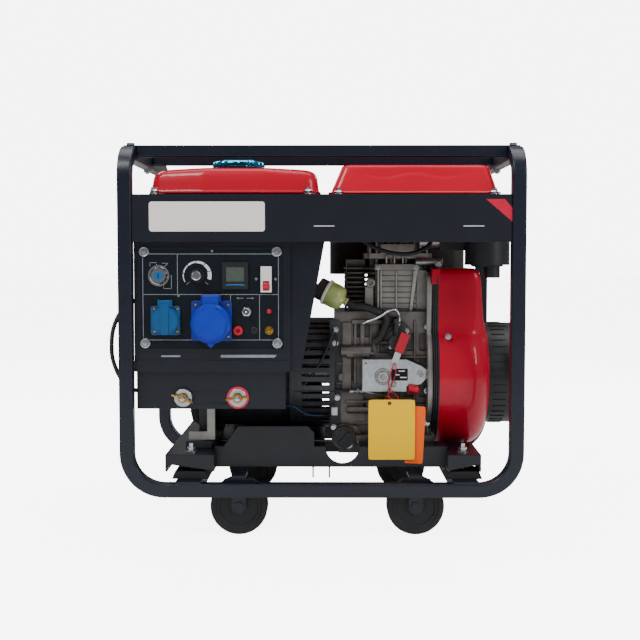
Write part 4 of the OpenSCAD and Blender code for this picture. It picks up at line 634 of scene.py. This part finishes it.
def shroud_skin(inset):
    rings = []

    def up(a):
        return max(0.0, min(1.0, (math.cos(a) - 0.55) / 0.35))

    def edge_at(x):
        rings.append(shroud_ring(lambda a, reach: (x, reach - inset)))

    for x in (SHROUD_X0, SHROUD_X0 + 5, SHROUD_X0 + 14, SHROUD_X0 + 26):
        edge_at(x)
    for k in range(0, 10):
        turn = math.pi / 2 * k / 9

        def rim(a, reach, turn=turn):
            dish = 46 - 30 * up(a)
            far = SHROUD_X1 - 20 * up(a) - inset
            return far - dish + dish * math.sin(turn), reach - inset - dish * (1 - math.cos(turn))

        rings.append(shroud_ring(rim))
    for k in range(1, 8):
        t = k / 7

        def face(a, reach, t=t):
            dish = 46 - 30 * up(a)
            r0 = reach - inset - dish
            r = r0 + (84 - r0) * t
            lift = 20 * up(a) * min(1.0, max(0.0, (r - 100) / 40))
            return SHROUD_X1 - lift - inset, r

        rings.append(shroud_ring(face))
    return rings


outer = shroud_skin(0)
inner = shroud_skin(2.0)
skin = outer + inner[::-1]
verts, faces = loft(skin + [skin[0]], caps=(False, False))
piece("blower_shroud", verts, faces, shroud_red, smooth=42, stands_for=("fan_shroud",))


def shroud_band(rows):
    """A band round the shroud's outline from (x, distance outside the outline) rows."""
    rings = [shroud_ring(lambda a, reach, x=x, d=d: (x, reach + d)) for x, d in rows + rows[:1]]
    return loft(rings, caps=(False, False))


def radial_bars(x0, count, radius, section, lengths, phase=0.0):
    """Bars round the crank axis: section lists (across, outwards), lengths are their ends along X."""
    bars = []
    for k in range(count):
        a = 2 * math.pi * (k + phase) / count
        across, out = Vector((0, math.cos(a), -math.sin(a))), Vector((0, math.sin(a), math.cos(a)))
        middle = at(x0, AXIS_Y, AXIS_Z) + out * radius * MM
        bars.append(loft([[middle + (Vector((x, 0, 0)) + across * s + out * h) * MM for s, h in section]
            for x in lengths]))
    return merge(bars)


seal = []
for first, last, out in ((10.4, 7.4, -2.0), (7.0, 3.6, -0.2), (3.2, 0.2, 1.4)):
    x0, x1 = SHROUD_X0 - first, SHROUD_X0 - last
    seal.append(shroud_band([(x0, -9), (x0, out - 0.8), (x0 + 0.8, out), (x1 - 0.8, out), (x1, out - 0.8),
        (x1, -9)]))
piece("shroud_seal", *merge(seal), gasket, smooth=40, slot="rubber")
x0, x1 = SHROUD_X0 - 21.3, SHROUD_X0 - 10.8
piece("bell_plate", *shroud_band([(x0, -26), (x0, -9.2), (x0 + 1.2, -8), (x1 - 1.2, -8), (x1, -9.2),
    (x1, -26)]), cast_panel, smooth=40)
ear = at(SHROUD_X0 + 16.7, -137, 355.6)
piece("shroud_ear_bolt", *merge([turned(ear, (0, -1, 0), [(5.6, -6), (5.6, 1.2), (4, 1.4)], 32),
    hexagon(ear + Vector((0, -1.2, 0)) * MM, (0, -1, 0), 7, 4)]), zinc, smooth=30)
piece("shroud_lip", *block((SHROUD_X0 - 13.8, -122.6, 452), (SHROUD_X0 + 3.7, -108, 482)), shroud_red,
    edge=2.5)
recoil_low, recoil_high = box_mm("recoil_starter")
RECOIL_R = (recoil_high[2] - recoil_low[2]) / 2
recoil_ribs = radial_bars(SHROUD_X1, 40, RECOIL_R - 1.0, ((-1.6, 0), (1.6, 0), (1.2, 2.6), (-1.2, 2.6)),
    (8, 34))
piece("recoil_cooling_ribs", *recoil_ribs, black_abs, smooth=30)

# ---------------------------------------------------------------- hoses and loom
supply = run((47, -113, 420), (60, -117, 411), (78, -119, 410), (100, -119, 403), (115, -118, 396),
    (122, -117, 384), (112, -114, 356), (104, -112, 346), (98, -111.3, 342))
filter_top = Vector((-8, -104, 446))
filter_dir = Vector((52, -10, -26)).normalized()
end = filter_top + filter_dir * 64.3
supply[0] = at(*end)
supply[1] = at(*(end + filter_dir * 14))
feed = run((-60, -100, 566), (-60, -100, 544), (-58, -104, 506), (-38, -102, 466))
feed += [at(*(filter_top - filter_dir * 14)), at(*(filter_top - filter_dir * 0.3))]
returns = run((-18, -120, 590), (8, -122, 584), (48, -134, 560), (84, -142, 528), (122, -146, 512),
    (162, -144, 509), (196, -130, 522), (206, -104, 544), (190, -86, 554), (180, -70, 554),
    (180, -61, 554))
piece("fuel_line_rubber", *merge([hose(arc_line(supply), 7.2), hose(arc_line(feed), 5),
    hose(arc_line(returns), 4)]), rubber, smooth=60, stands_for=("fuel_hoses",))
loom = run((-328, -198, 424), (-336, -198.5, 424), (-350, -198.5, 418), (-366, -198.5, 398),
    (-376.5, -198.5, 372), (-379.5, -198.5, 345), (-377.5, -198.5, 318), (-366, -198.5, 288),
    (-348, -198.5, 266), (-333.5, -198.5, 262), (-326, -198.5, 262))
piece("ribbed_loom", *hose(arc_line(loom), 4.5, 12, rib=(3.2, 0.9)), black_abs, smooth=60,
    stands_for=("wiring_loom",))

# Fuel filter: brown head, white clamp ring and a clear bowl, along its leaning axis
base = at(*filter_top)
piece("filter_head", *turned(base, filter_dir, [(5, -6), (6, -6), (6, 0), (18, 0.5), (20.5, 2), (21, 5),
    (21, 17), (19, 18)]), filter_brown, smooth=40, stands_for=("fuel_filter",))
piece("filter_ring", *turned(base, filter_dir, [(19, 17.5), (24.4, 17.8), (25, 18.6), (25, 22.4),
    (24.4, 23.2), (20, 23.4)]), white_abs, smooth=40)
piece("filter_bowl", *turned(base, filter_dir, [(20, 23), (23.5, 23.6), (23.5, 39), (22.8, 45),
    (20.4, 50), (15.4, 54), (9, 55.8), (7, 56.2), (6.5, 58.4), (8, 59.4), (8, 62), (6, 64), (2, 64)]),
    filter_bowl, smooth=40)
pipe = run((76, -121, 379), (83.5, -124, 381.6), (105.9, -126, 390.4), (125, -127, 402.4),
    (137, -126, 405), (144, -122, 397), (146, -117, 389), (145, -112, 374))
piece("injector_leak_pipe", *hose(arc_line(pipe), 2.3, 12), zinc, smooth=60)

# ---------------------------------------------------------------- castings seen from the front
CASE_Y = box_mm("speed_bracket")[1][1]
CYLINDER_Y = box_mm("cylinder")[0][1]
HEAD_Y = box_mm("cylinder_head")[0][1]
FORWARD = (0, -1, 0)


def raised(x0, x1, z0, z1, front, height, sink=2.0):
    """A raised block on a face that looks forwards."""
    return block((x0, front - height, z0), (x1, front + sink, z1))


def bolt(x, z, front, across=8.0, height=5.0, turn=0.2):
    """A washer and hexagon head that face forwards."""
    here = at(x, front, z)
    return merge([turned(here, FORWARD, [(across * 0.72, -1), (across * 0.72, 1.0), (across * 0.4, 1.2)],
        28), hexagon(at(x, front - 1.0, z), FORWARD, across, height, turn)])


ribs = [raised(*row, CASE_Y, h) for row, h in (((38, 56, 252, 380), 3.5), ((60, 66, 262, 380), 2.2),
    ((72, 81, 262, 380), 2.2), ((90.5, 94.5, 322, 378), 2.6), ((104.5, 108.5, 322, 378), 2.6),
    ((56, 118, 377, 385), 4.0), ((148, 206, 312, 316.5), 3.6), ((148, 206, 221, 225.5), 3.6),
    ((148, 152, 160, 300), 3.0), ((173.5, 177.5, 160, 384), 3.6), ((198, 203, 160, 384), 4.6),
    ((44, 152, 226, 232), 2.4), ((60, 110, 186, 190), 3.0), ((84, 88, 160, 226), 2.6),
    ((114, 118, 160, 226), 2.6), ((26, 38, 300, 304), 3.0), ((26, 38, 262, 266), 3.0))]
piece("case_ribs", *merge(ribs), cast_alloy, edge=1.1)
band = plate_outline(14.5, 35.5, 165, 385, 6)
piece("case_flange", *slab(band, CASE_Y - 1.6, 8), cast_dark, edge=0.8)
barrel = turned(at(46, CASE_Y - 4.5, 320.7), (1, 0, 0),
    [(6, 0), (8.6, 0.8), (9, 2), (9, 13), (7.6, 14), (7.6, 29), (9, 30), (9, 42), (8.4, 43.6), (5, 44),
    (4, 52), (1, 52)], 32)
pump_ring = turned(at(139.6, CASE_Y, 353), FORWARD,
    [(30, -1), (30, 3.2), (29, 4.2), (22, 4.6), (21, 6), (15, 6.4), (14, 9), (8, 9.5), (7, 12),
    (1, 12.4)], 48)
boss = turned(at(42, CASE_Y, 163), FORWARD, [(24, -1), (24, 7), (23, 8), (20.5, 8), (20, 6)], 48)
wing = slab(rounded([(42, 187), (68, 182), (76, 166), (68, 150), (42, 139)], 6), CASE_Y - 6.5, 8)
piece("case_bosses", *merge([barrel, boss, wing]), cast_alloy, smooth=38)
piece("pump_flange", *pump_ring, cast_dark, smooth=38)
case_bolts = [bolt(x, z, CASE_Y - out, across) for x, z, out, across in ((25.5, 340.6, 1.8, 8),
    (25.5, 366, 1.8, 8), (29, 237, 1.8, 8), (23, 180, 1.8, 8), (74, 154, 6.6, 9), (119.7, 364, 4.6, 7),
    (160, 364, 4.6, 7), (129.6, 333, 4.6, 7), (51.8, 147.3, 8.2, 10), (200, 372, 4.8, 9),
    (200, 250, 4.8, 9), (200, 190, 4.8, 9))]
piece("case_bolts", *merge(case_bolts), zinc, smooth=30)

# Throttle cable: sleeve, adjusting barrel with its nuts and bare wire
sleeve = run((-66, -112, 252), (-41, -113, 250), (-10, -113, 251), (20, -113, 251), (52, -113, 250))
piece("throttle_sleeve", *hose(arc_line(sleeve), 2.6, 12), gasket, smooth=60)
here = at(52, -113, 250)
nuts = [hexagon(at(66, -113, 250), (1, 0, 0), 10, 4), hexagon(at(74, -113, 249.6), (1, 0, 0), 10, 4, 0.4)]
thread = turned(here, (1, 0, 0), [(3, 0), (3.6, 0.6), (3.6, 8)] + [(3.3 - 0.4 * (k % 2), 8 + k)
    for k in range(22)] + [(1, 31)], 20)
wire = hose(arc_line([at(83, -113, 249), at(104, -114, 245), at(129, -115, 240)]), 1.5, 10)
piece("throttle_adjuster", *merge(nuts + [thread, wire]), zinc, smooth=35)
# Loom branch to the oil switch with its white plug, and the two thin charging wires
switch_lead = run((22, -108, 368), (15, -112, 345), (7, -113, 325), (-9, -113, 294), (-30, -113, 266),
    (-41, -113, 257), (-66, -112, 250))
piece("switch_lead", *merge([hose(arc_line(switch_lead), 2.4, 12),
    hose(arc_line([at(24, -108, 366), at(28, -109, 350), at(26, -108, 330)]), 1.6, 10),
    block((18, CASE_Y - 12, 192), (29, CASE_Y - 2, 204))]), gasket, smooth=60)
thin = [[at(*p) for p in row] for row in (((-66, -112, 240), (-52, -113, 250), (-40, -113, 261),
    (-27, -111, 268)), ((-66, -112, 222), (-52, -113, 220), (-36, -113, 209), (-20, -111, 204),
    (2, -110, 203)))]
piece("charging_wires", *merge([hose(arc_line(row), 1.3, 10) for row in thin]), wire_blue, smooth=60)
piece("oil_switch_plug", *block((18, CASE_Y - 13, 204), (29.5, CASE_Y - 2, 219)), white_abs, edge=1.2)

# Back of the crankcase: a grid of stiffening ribs with a bolt at each crossing of the outer ones
CASE_BACK = AXIS_Y + 88
back_ribs = [block((x - 2, CASE_BACK - 2, 150), (x + 2, CASE_BACK + 3, 386)) for x in (36, 84, 132, 180)]
back_ribs += [block((30, CASE_BACK - 2, z - 2), (206, CASE_BACK + 3, z + 2))
    for z in (190, 260, 330, 380)]
piece("case_back_ribs", *merge(back_ribs), cast_alloy, edge=1.1)
piece("case_back_bolts", *merge([hexagon(at(x, CASE_BACK + 2.6, z), (0, 1, 0), 9, 5, 0.3)
    for x in (36, 180) for z in (190, 380)]), zinc, smooth=30)

# Alternator end: radial ribs between its bearing boss and its rim
end_low = box_mm("alternator_housing")[0]
end_ribs = radial_bars(end_low[0], 16, 0, ((-2.4, 36), (2.4, 36), (3.0, 88), (-3.0, 88)), (1.5, -2.6),
    0.5)
piece("alternator_end_ribs", *end_ribs, cast_dark, edge=0.9, slot="dark_plastic")

# Battery: shallow upright ribs on the side that faces out
battery_low, battery_high = box_mm("battery")
battery_ribs = [block((battery_low[0] + 14 + 22 * k, battery_high[1] - 3, battery_low[2] + 14),
    (battery_low[0] + 24 + 22 * k, battery_high[1] + 1.4, battery_high[2] - 44)) for k in range(8)]
piece("battery_side_ribs", *merge(battery_ribs), battery_case, edge=0.8)

# Cylinder: a cast front panel crossed by dark slots, with upright ribs in a near-white painted highlight
# and the flange above
strips = []
for k in range(7):
    z1 = 478 - 10.6 * k
    strips.append(raised(105, 180, max(z1 - 9.2, 399), z1, CYLINDER_Y, 2.0))
strips += [raised(105, 180, 399, 478, CYLINDER_Y, 0.4), raised(180, 200, 399, 478, CYLINDER_Y, 1.6)]
strips += [raised(82, 98, 406, 446, CYLINDER_Y, 2.4)]
piece("cylinder_panel", *merge(strips), cast_panel, edge=0.6)
lines = [raised(x - 1.6, x + 1.6, 399, 478, CYLINDER_Y, 4.6) for x in (107, 112.5, 141.6)]
lines.append(slab([(166, 399), (172, 399), (183, 478), (174, 478)], CYLINDER_Y - 5.2, 7))
lines += [raised(x - 1.6, x + 1.6, 491, 507, HEAD_Y, 3.4, 6) for x in (123, 138, 154)]
# These ribs take the painted highlight copy of the cast aluminium.
piece("cylinder_ribs", *merge(lines), highlight_rib_alloy, edge=0.8)
top = [raised(100, 186, 478, 490, HEAD_Y, 4.2, 4), raised(112, 175, 508, 528, HEAD_Y, 1.0, 6),
    turned(at(92.5, CYLINDER_Y - 2.4, 454), FORWARD,
    [(9, -2), (9, 4), (8, 5.4), (4, 5.6), (3.6, 3), (1, 3)], 28)]
piece("head_flange", *merge(top), cast_light, edge=0.9)
rail = turned(at(177, HEAD_Y - 5, 494), (1, 0, 0),
    [(5, 0), (6.6, 1), (6.6, 44), (7.6, 45), (7.6, 51), (5, 52)], 28)
piece("head_pipe", *rail, cast_panel, smooth=38)
piece("head_bolts", *merge([bolt(221, 490, HEAD_Y - 10, 9), bolt(107, 484, HEAD_Y - 4.4, 7),
    bolt(179, 484, HEAD_Y - 4.4, 7)]), zinc, smooth=30)
foot = [(-247, 164), (-198, 164), (-198, 230), (-213, 230), (-213, 180), (-247, 180)]
piece("alternator_foot_face", *slab(foot, box_mm("alternator_housing")[0][1] - 0.6, 1.8), cast_panel,
    edge=0.6)
piece("pushrod_tube", *hose([at(45.5, CYLINDER_Y - 4, 400), at(45.5, CYLINDER_Y - 4, 474)], 2.6, 14),
    gasket)

# Speed bracket: a black label with white dashes, its washer and bolts, and the red stop screw cap
# Front of the bracket's sheet, just proud of it
SHEET_Y = -134.2
piece("speed_label", *slab(plate_outline(129.6, 160.4, 272.6, 295, 1), SHEET_Y, 0.4), label_black)
piece("speed_marks", *merge([ribbon([(144, 290.5), (154, 290.5)], 2.0, SHEET_Y - 0.2),
    ribbon([(138, 283.5), (144, 283.5)], 2.0, SHEET_Y - 0.2),
    ribbon([(147, 278.5), (157, 278.5)], 2.0, SHEET_Y - 0.2)]), white_ink)
washer = turned(at(114, SHEET_Y + 0.4, 280), FORWARD,
    [(15.6, 0), (15.6, 3.2), (14.8, 4.0), (11.6, 4.0), (11, 3.4), (8, 3.4)], 48)
piece("bracket_fasteners", *merge([washer, hexagon(at(114, SHEET_Y - 2.6, 280), FORWARD, 12, 7.4, 0.3),
    bolt(134, 266, SHEET_Y + 0.4, 9, 4), bolt(186, 282, SHEET_Y + 15.6, 9, 6)]), steel, smooth=30)
piece("stop_cap", *turned(at(162, -126, 256), (1, 0, -0.12),
    [(5, 0), (7.6, 1), (8, 3), (8, 16), (7, 19), (3.6, 21), (0.6, 21.4)], 32), red_abs, smooth=50)

# ---------------------------------------------------------------- plate, stripes and tags
BEAM_Y = box_mm("front_beam")[0][1]
piece("blank_badge", *slab(plate_outline(-304, -100, 547.8, 600.3, 5), BEAM_Y - 1.0, 1.2), pearl,
    edge=0.4, stands_for=("plates_and_tags",))
trim = [ribbon([(-13, 557.5), (21.5, 557.5)], 1.5, BEAM_Y - 0.2),
    ribbon([(250, 557.5), (285, 557.5)], 1.5, BEAM_Y - 0.2)]
piece("beam_stripes", *merge(trim), white_ink)
piece("corner_flash", *slab([(288.3, 604.7), (335, 565), (335, 589), (321.7, 604.7)], BEAM_Y - 0.2, 0.15),
    red_ink)


CORNER = 0.9


def hanging_card(name, x, z, w, h, y, tilt, material, curl):
    """A stiff card with clipped corners and a slight curl."""
    nx, nz = 10, 14
    verts, faces = [], []
    for side in (0, 1):
        for j in range(nz + 1):
            for i in range(nx + 1):
                u, v = i / nx - 0.5, j / nz - 0.5
                px = u * w
                pz = v * h
                if abs(u) == 0.5 and abs(v) == 0.5:
                    px -= math.copysign(CORNER, u)
                    pz -= math.copysign(CORNER, v)
                ox = px * math.cos(tilt) - pz * math.sin(tilt)
                oz = px * math.sin(tilt) + pz * math.cos(tilt)
                depth = y + curl * (u * u * 2 + 0.5 * v) + (0.4 if side else -0.4)
                verts.append(at(x + ox, depth, z + oz))
    n = (nx + 1) * (nz + 1)
    for j in range(nz):
        for i in range(nx):
            a = j * (nx + 1) + i
            quad = (a, a + 1, a + nx + 2, a + nx + 1)
            faces.append(quad)
            faces.append(tuple(n + q for q in reversed(quad)))
    border = [i for i in range(nx + 1)] + [j * (nx + 1) + nx for j in range(1, nz + 1)]
    border += [nz * (nx + 1) + i for i in range(nx - 1, -1, -1)] + [j * (nx + 1)
        for j in range(nz - 1, 0, -1)]
    for k in range(len(border)):
        a, b = border[k], border[(k + 1) % len(border)]
        faces.append((b, a, n + a, n + b))
    return piece(name, verts, faces, material, smooth=60)


hanging_card("yellow_card", 128, 187, 85, 111, -176.5, 0.0, card_yellow, -3.0)
hanging_card("orange_card", 171, 177, 34, 106, -173, -0.05, card_orange, -2.0)
piece("card_eyelet", *turned(at(124, -177.4, 236), (0, -1, 0),
    [(1.2, -0.4), (3.2, -0.2), (3.4, 0.4), (2.4, 0.7), (1.2, 0.5)], 32), gasket, slot="rubber")
string = run((126, -133.4, 256), (125, -146, 254), (123, -160, 249), (124, -174, 241), (124, -178.5, 237),
    (124, -179.5, 235))
loop = run((125, -147, 252), (125, -143.5, 272), (129, -142.6, 290), (134, -142.6, 306),
    (138, -142.6, 300), (136, -143, 282), (130, -144, 266), (126, -147, 250))
knot = run((125, -150, 254), (135, -158, 250), (141, -166, 244), (137, -172, 240), (129, -176, 243),
    (120, -168, 247), (118, -158, 243), (116, -156, 236))
piece("red_string", *merge([hose(arc_line(string), 0.9, 8), hose(arc_line(knot), 0.9, 8),
    hose(arc_line(loop), 0.9, 8)]), string_red, smooth=60)

# ---------------------------------------------------------------- control plate details
plate_box = box_mm("control_plate")
PLATE_Y = plate_box[0][1]
INK = PLATE_Y - 0.15
PX, PZ = plate_box[0][0] - 0.3, plate_box[0][2] - 0.3


def spot(dx, dz, out=0.0):
    return at(PX + dx, PLATE_Y - out, PZ + dz)


def line(points, width):
    """A printed line on the control plate."""
    return ribbon(points, width, INK)


frame_line = plate_outline(-317.8, -76.9, 355.5, 508.4, 6)
print_parts = [ribbon(frame_line, 1.0, INK, closed=True), line([(-317.8, 436.5), (-76.9, 436.5)], 1.0),
    line([(-256.2, 436.5), (-256.2, 508.4)], 1.0), line([(-162, 355.5), (-162, 436.5)], 1.0),
    line([(-110.5, 355.5), (-110.5, 436.5)], 1.0)]
# key positions: two curved pointers over the switch and a stepped one at its right
KX, KZ = PX + 33, PZ + 130.5
print_parts += [line([(KX - 16, KZ + 17), (KX - 16, KZ + 23), (KX - 4, KZ + 23)], 0.9),
    line([(KX + 6, KZ + 22), (KX + 16, KZ + 22), (KX + 10, KZ + 16)], 0.9),
    line([(KX + 8, KZ - 17), (KX + 8, KZ - 23), (KX + 22, KZ - 23), (KX + 22, KZ + 1)], 0.9)]
# arrows over the mode switch
for x0, x1 in ((-150, -139), (-122, -133)):
    print_parts.append(line([(x0, 430), (x1, 430)], 0.9))
print_parts += [slab([(-152, 430), (-148, 428), (-148, 432)], INK, 0.15),
    slab([(-120, 430), (-124, 432), (-124, 428)], INK, 0.15)]
# short ticks at both ends of the current scale
DX, DZ = PX + 101, PZ + 131
for a in (-40, 220):
    c, s = math.cos(math.radians(a)), math.sin(math.radians(a))
    print_parts.append(line([(DX + 18 * c, DZ + 18 * s), (DX + 25 * c, DZ + 25 * s)], 0.9))
piece("panel_print", *merge(print_parts), grey_ink)


def dial_band():
    """Scale round the current knob: a band that grows from left to right, cut into steps."""
    parts = []
    start, stop, steps = 208, -22, 6
    for k in range(steps):
        a0 = start + (stop - start) * k / steps
        a1 = start + (stop - start) * (k + 0.9) / steps
        width = 1.6 + 6.4 * (k / steps) ** 1.3
        ring = []
        for i in range(7):
            a = math.radians(a0 + (a1 - a0) * i / 6)
            ring.append((DX + 25.6 * math.cos(a), DZ + 25.6 * math.sin(a)))
        for i in range(6, -1, -1):
            a = math.radians(a0 + (a1 - a0) * i / 6)
            ring.append((DX + (25.6 - width) * math.cos(a), DZ + (25.6 - width) * math.sin(a)))
        parts.append(slab(ring[::-1], INK, 0.15))
    return merge(parts)


piece("dial_scale", *dial_band(), white_ink)
piece("knob_cap", *turned(spot(101, 131, 15.6), (0, -1, 0),
    [(8.6, -0.6), (9.0, 0), (9.0, 1.0), (8.4, 1.8), (7.4, 2.0), (6.8, 1.4), (3, 1.5), (0.5, 1.5)], 48),
    chrome, body="knob")
# meter: glass window and a blue strip under it
MX, MZ = PX + 168.5, PZ + 130.5
piece("meter_glass", *slab(plate_outline(MX - 16, MX + 16, MZ - 10.6, MZ + 15.6, 1), PLATE_Y - 3.4, 0.5),
    lcd_glass)
piece("meter_strip", *slab([(MX - 19, MZ - 17.5), (MX - 14, MZ - 15.6), (MX, MZ - 15),
    (MX + 14, MZ - 15.6), (MX + 19, MZ - 17.5), (MX + 13, MZ - 17.2), (MX, MZ - 16.8),
    (MX - 13, MZ - 17.2)][::-1], PLATE_Y - 4.7, 0.3), blue_film)
# Two plain printed strips low on the control box
piece("strip_patch", *merge([slab([(-286, 325), (-252, 325), (-252, 328), (-286, 328)],
    box_mm("control_box")[0][1] - 0.2, 0.15), slab([(-180, 324), (-84, 324), (-80, 329), (-180, 329)],
    box_mm("control_box")[0][1] - 0.2, 0.15)]), grey_ink)

# binding posts, lamp, earth stud and switch bush, each its own finish
FRONT = (0, -1, 0)


def post_flute(a, radius):
    return 1 - (0.05 * (0.5 + 0.5 * math.cos(16 * a)) if radius > 7.1 else 0)


piece("red_post", *turned(spot(173.5, 33), FRONT,
    [(8.4, 0), (8.6, 0.6), (8.6, 7), (7.8, 8), (4.2, 8), (3.6, 7.2), (3.4, 2.4), (0.5, 2.4)], 96,
    post_flute), red_abs, stands_for=("panel_terminals",))
piece("black_post", *turned(spot(202, 33), FRONT,
    [(6.4, 0), (6.4, 1.4), (5.6, 2.0), (2.4, 2.0), (2.0, 0.8), (0.3, 0.8)], 64), black_abs)
piece("mode_bush", *merge([hexagon(spot(188.5, 66.5), FRONT, 15, 3),
    turned(spot(188.5, 66.5), FRONT, [(6.4, 0), (6.4, 3.4), (5.8, 3.6), (5.8, 4.6), (5.4, 4.8),
    (5.4, 5.6), (5.8, 5.8), (5.8, 7.4), (5.2, 8), (4.9, 8), (3.1, 3), (1, 3)])]), zinc, slot="chrome")
piece("oil_lamp", *turned(spot(228.5, 67), FRONT,
    [(4.2, 0), (4.2, 1.4), (3.4, 2.0), (3.2, 3.2), (2.4, 4.8), (1.0, 5.4), (0.2, 5.5)], 32), red_abs)
piece("earth_stud", *merge([turned(spot(228.5, 33), FRONT, [(7.6, 0), (7.6, 1.2), (3, 1.3)], 40),
    hexagon(spot(228.5, 33, 1.2), FRONT, 11, 5, 0.2),
    turned(spot(228.5, 33, 6), FRONT, [(3, 0)] + [(3 - 0.25 * (k % 2), 0.6 * k)
    for k in range(16)] + [(0.5, 9.8)], 24)]), brass)
ring_parts = []
for dx, dz in ((6.5, 173), (242, 173), (7.5, 10), (243, 10)):
    ring_parts.append(turned(spot(dx, dz), FRONT,
        [(9.4, 0), (9.2, 1.2), (8.2, 2.3), (7.4, 2.5), (6.6, 2.2), (4.8, 0.8), (3, 0.8)], 48))
    ring_parts.append(turned(spot(dx, dz), FRONT,
        [(4.3, 0), (4.3, 2.4), (3.9, 2.9), (1.6, 3.0), (1.4, 1.6), (0.2, 1.6)], 36))
piece("panel_cup_washers", *merge(ring_parts), zinc, smooth=30)

screws = []
for x, z in ((-296.8, 411.9), (-256.2, 411.9), (-296.8, 371.9), (-256.2, 371.9), (-223.8, 419.4),
    (-166, 419.4), (-166, 362.7)):
    here = at(x, PLATE_Y - 4.5, z)
    screws.append(turned(here, FRONT, [(3.0, -4), (3.0, 0.3), (2.4, 1.2), (1.0, 1.5), (0.9, 0.8),
        (0.2, 0.8)], 24))
piece("socket_screws", *merge(screws), brass, smooth=40)

# ---------------------------------------------------------------- welding terminals
weld_low = box_mm("weld_box")[0]
STUD_Z = weld_low[2] + 20.5
for name, x, material in (("left", weld_low[0] + 83.5, gasket), ("right", weld_low[0] + 181.5, red_ring)):
    here = at(x, weld_low[1], STUD_Z)
    width = 20 if name == "right" else 18
    made = piece(name + "_insulator", *turned(here, FRONT,
        [(width, 0), (width, 2.6), (width - 1, 3.8), (width - 2, 4), (9, 4)]), material,
        slot="red_plastic" if name == "right" else "dark_plastic",
        stands_for=("weld_studs",) if name == "left" else ())
    piece(name + "_stud_and_washer", *merge([turned(here, FRONT,
        [(6, 4), (15.8, 4), (16, 4.4), (16, 6.2), (15.6, 6.5), (6, 6.5)]),
        turned(here, FRONT, [(4.6, 4)] + [(4.95 - 0.45 * (k % 2), 6 + 0.75 * k)
        for k in range(23)] + [(4, 23.4), (0.5, 23.8)], 32)]), zinc)

# ---------------------------------------------------------------- floor, light and camera
floor_mat, floor_tree, floor_shader = finish("pale_floor", Roughness=0.7, Specular_IOR_Level=0.2)
floor_shader.inputs["Emission Color"].default_value = (1, 1, 1, 1)
vary(floor_tree, floor_shader, "#f4f4f4", "#f1f1f2", 400, 0.5)
lit = add(floor_tree, "ShaderNodeLightPath")
glow = add(floor_tree, "ShaderNodeMapRange", {"Value": lit.outputs["Is Camera Ray"], "To Max": 6.0})
floor_tree.links.new(glow.outputs["Result"], floor_shader.inputs["Emission Strength"])
bpy.ops.mesh.primitive_plane_add(size=60, location=(0, 0, 0))
floor = bpy.context.object
floor.name = "floor"
floor.data.materials.append(floor_mat)
world = bpy.data.worlds.new("studio")
bpy.context.scene.world = world
world.use_nodes = True
world.node_tree.nodes["Background"].inputs["Color"].default_value = (1, 1, 1, 1)
seen = add(world.node_tree, "ShaderNodeLightPath")
strength = add(world.node_tree, "ShaderNodeMapRange",
    {"Value": seen.outputs["Is Camera Ray"], "To Min": 0.19, "To Max": 6.6})
world.node_tree.links.new(strength.outputs["Result"],
    world.node_tree.nodes["Background"].inputs["Strength"])


def softbox(name, place, target, size, power):
    lamp = bpy.data.lights.new(name, "AREA")
    lamp.shape = "RECTANGLE"
    lamp.size, lamp.size_y = size
    lamp.energy = power
    o = bpy.data.objects.new(name, lamp)
    o.location = place
    o.rotation_euler = (Vector(target) - Vector(place)).to_track_quat("-Z", "Y").to_euler()
    bpy.context.scene.collection.objects.link(o)


softbox("key", (-1.5, -2.0, 2.9), (0, 0, 0.35), (1.3, 1.0), 74)
softbox("fill", (2.2, -2.2, 1.7), (0, 0, 0.35), (1.0, 1.4), 40)
softbox("top", (0.1, 0.2, 2.7), (0, 0, 0.4), (2.4, 1.8), 50)
softbox("back_left", (-1.7, 2.3, 1.9), (0, 0, 0.35), (1.0, 1.4), 30)
softbox("back_right", (1.8, 2.2, 1.5), (0, 0, 0.35), (1.0, 1.4), 30)

camera_data = bpy.data.cameras.new("camera")
camera_data.lens = 60.7
camera_data.sensor_width = 36
camera = bpy.data.objects.new("camera", camera_data)
camera.location = at(6, -2140, 503)
camera.rotation_euler = (math.radians(90 - 3.34), 0, math.radians(0.27))
bpy.context.scene.collection.objects.link(camera)
bpy.context.scene.camera = camera
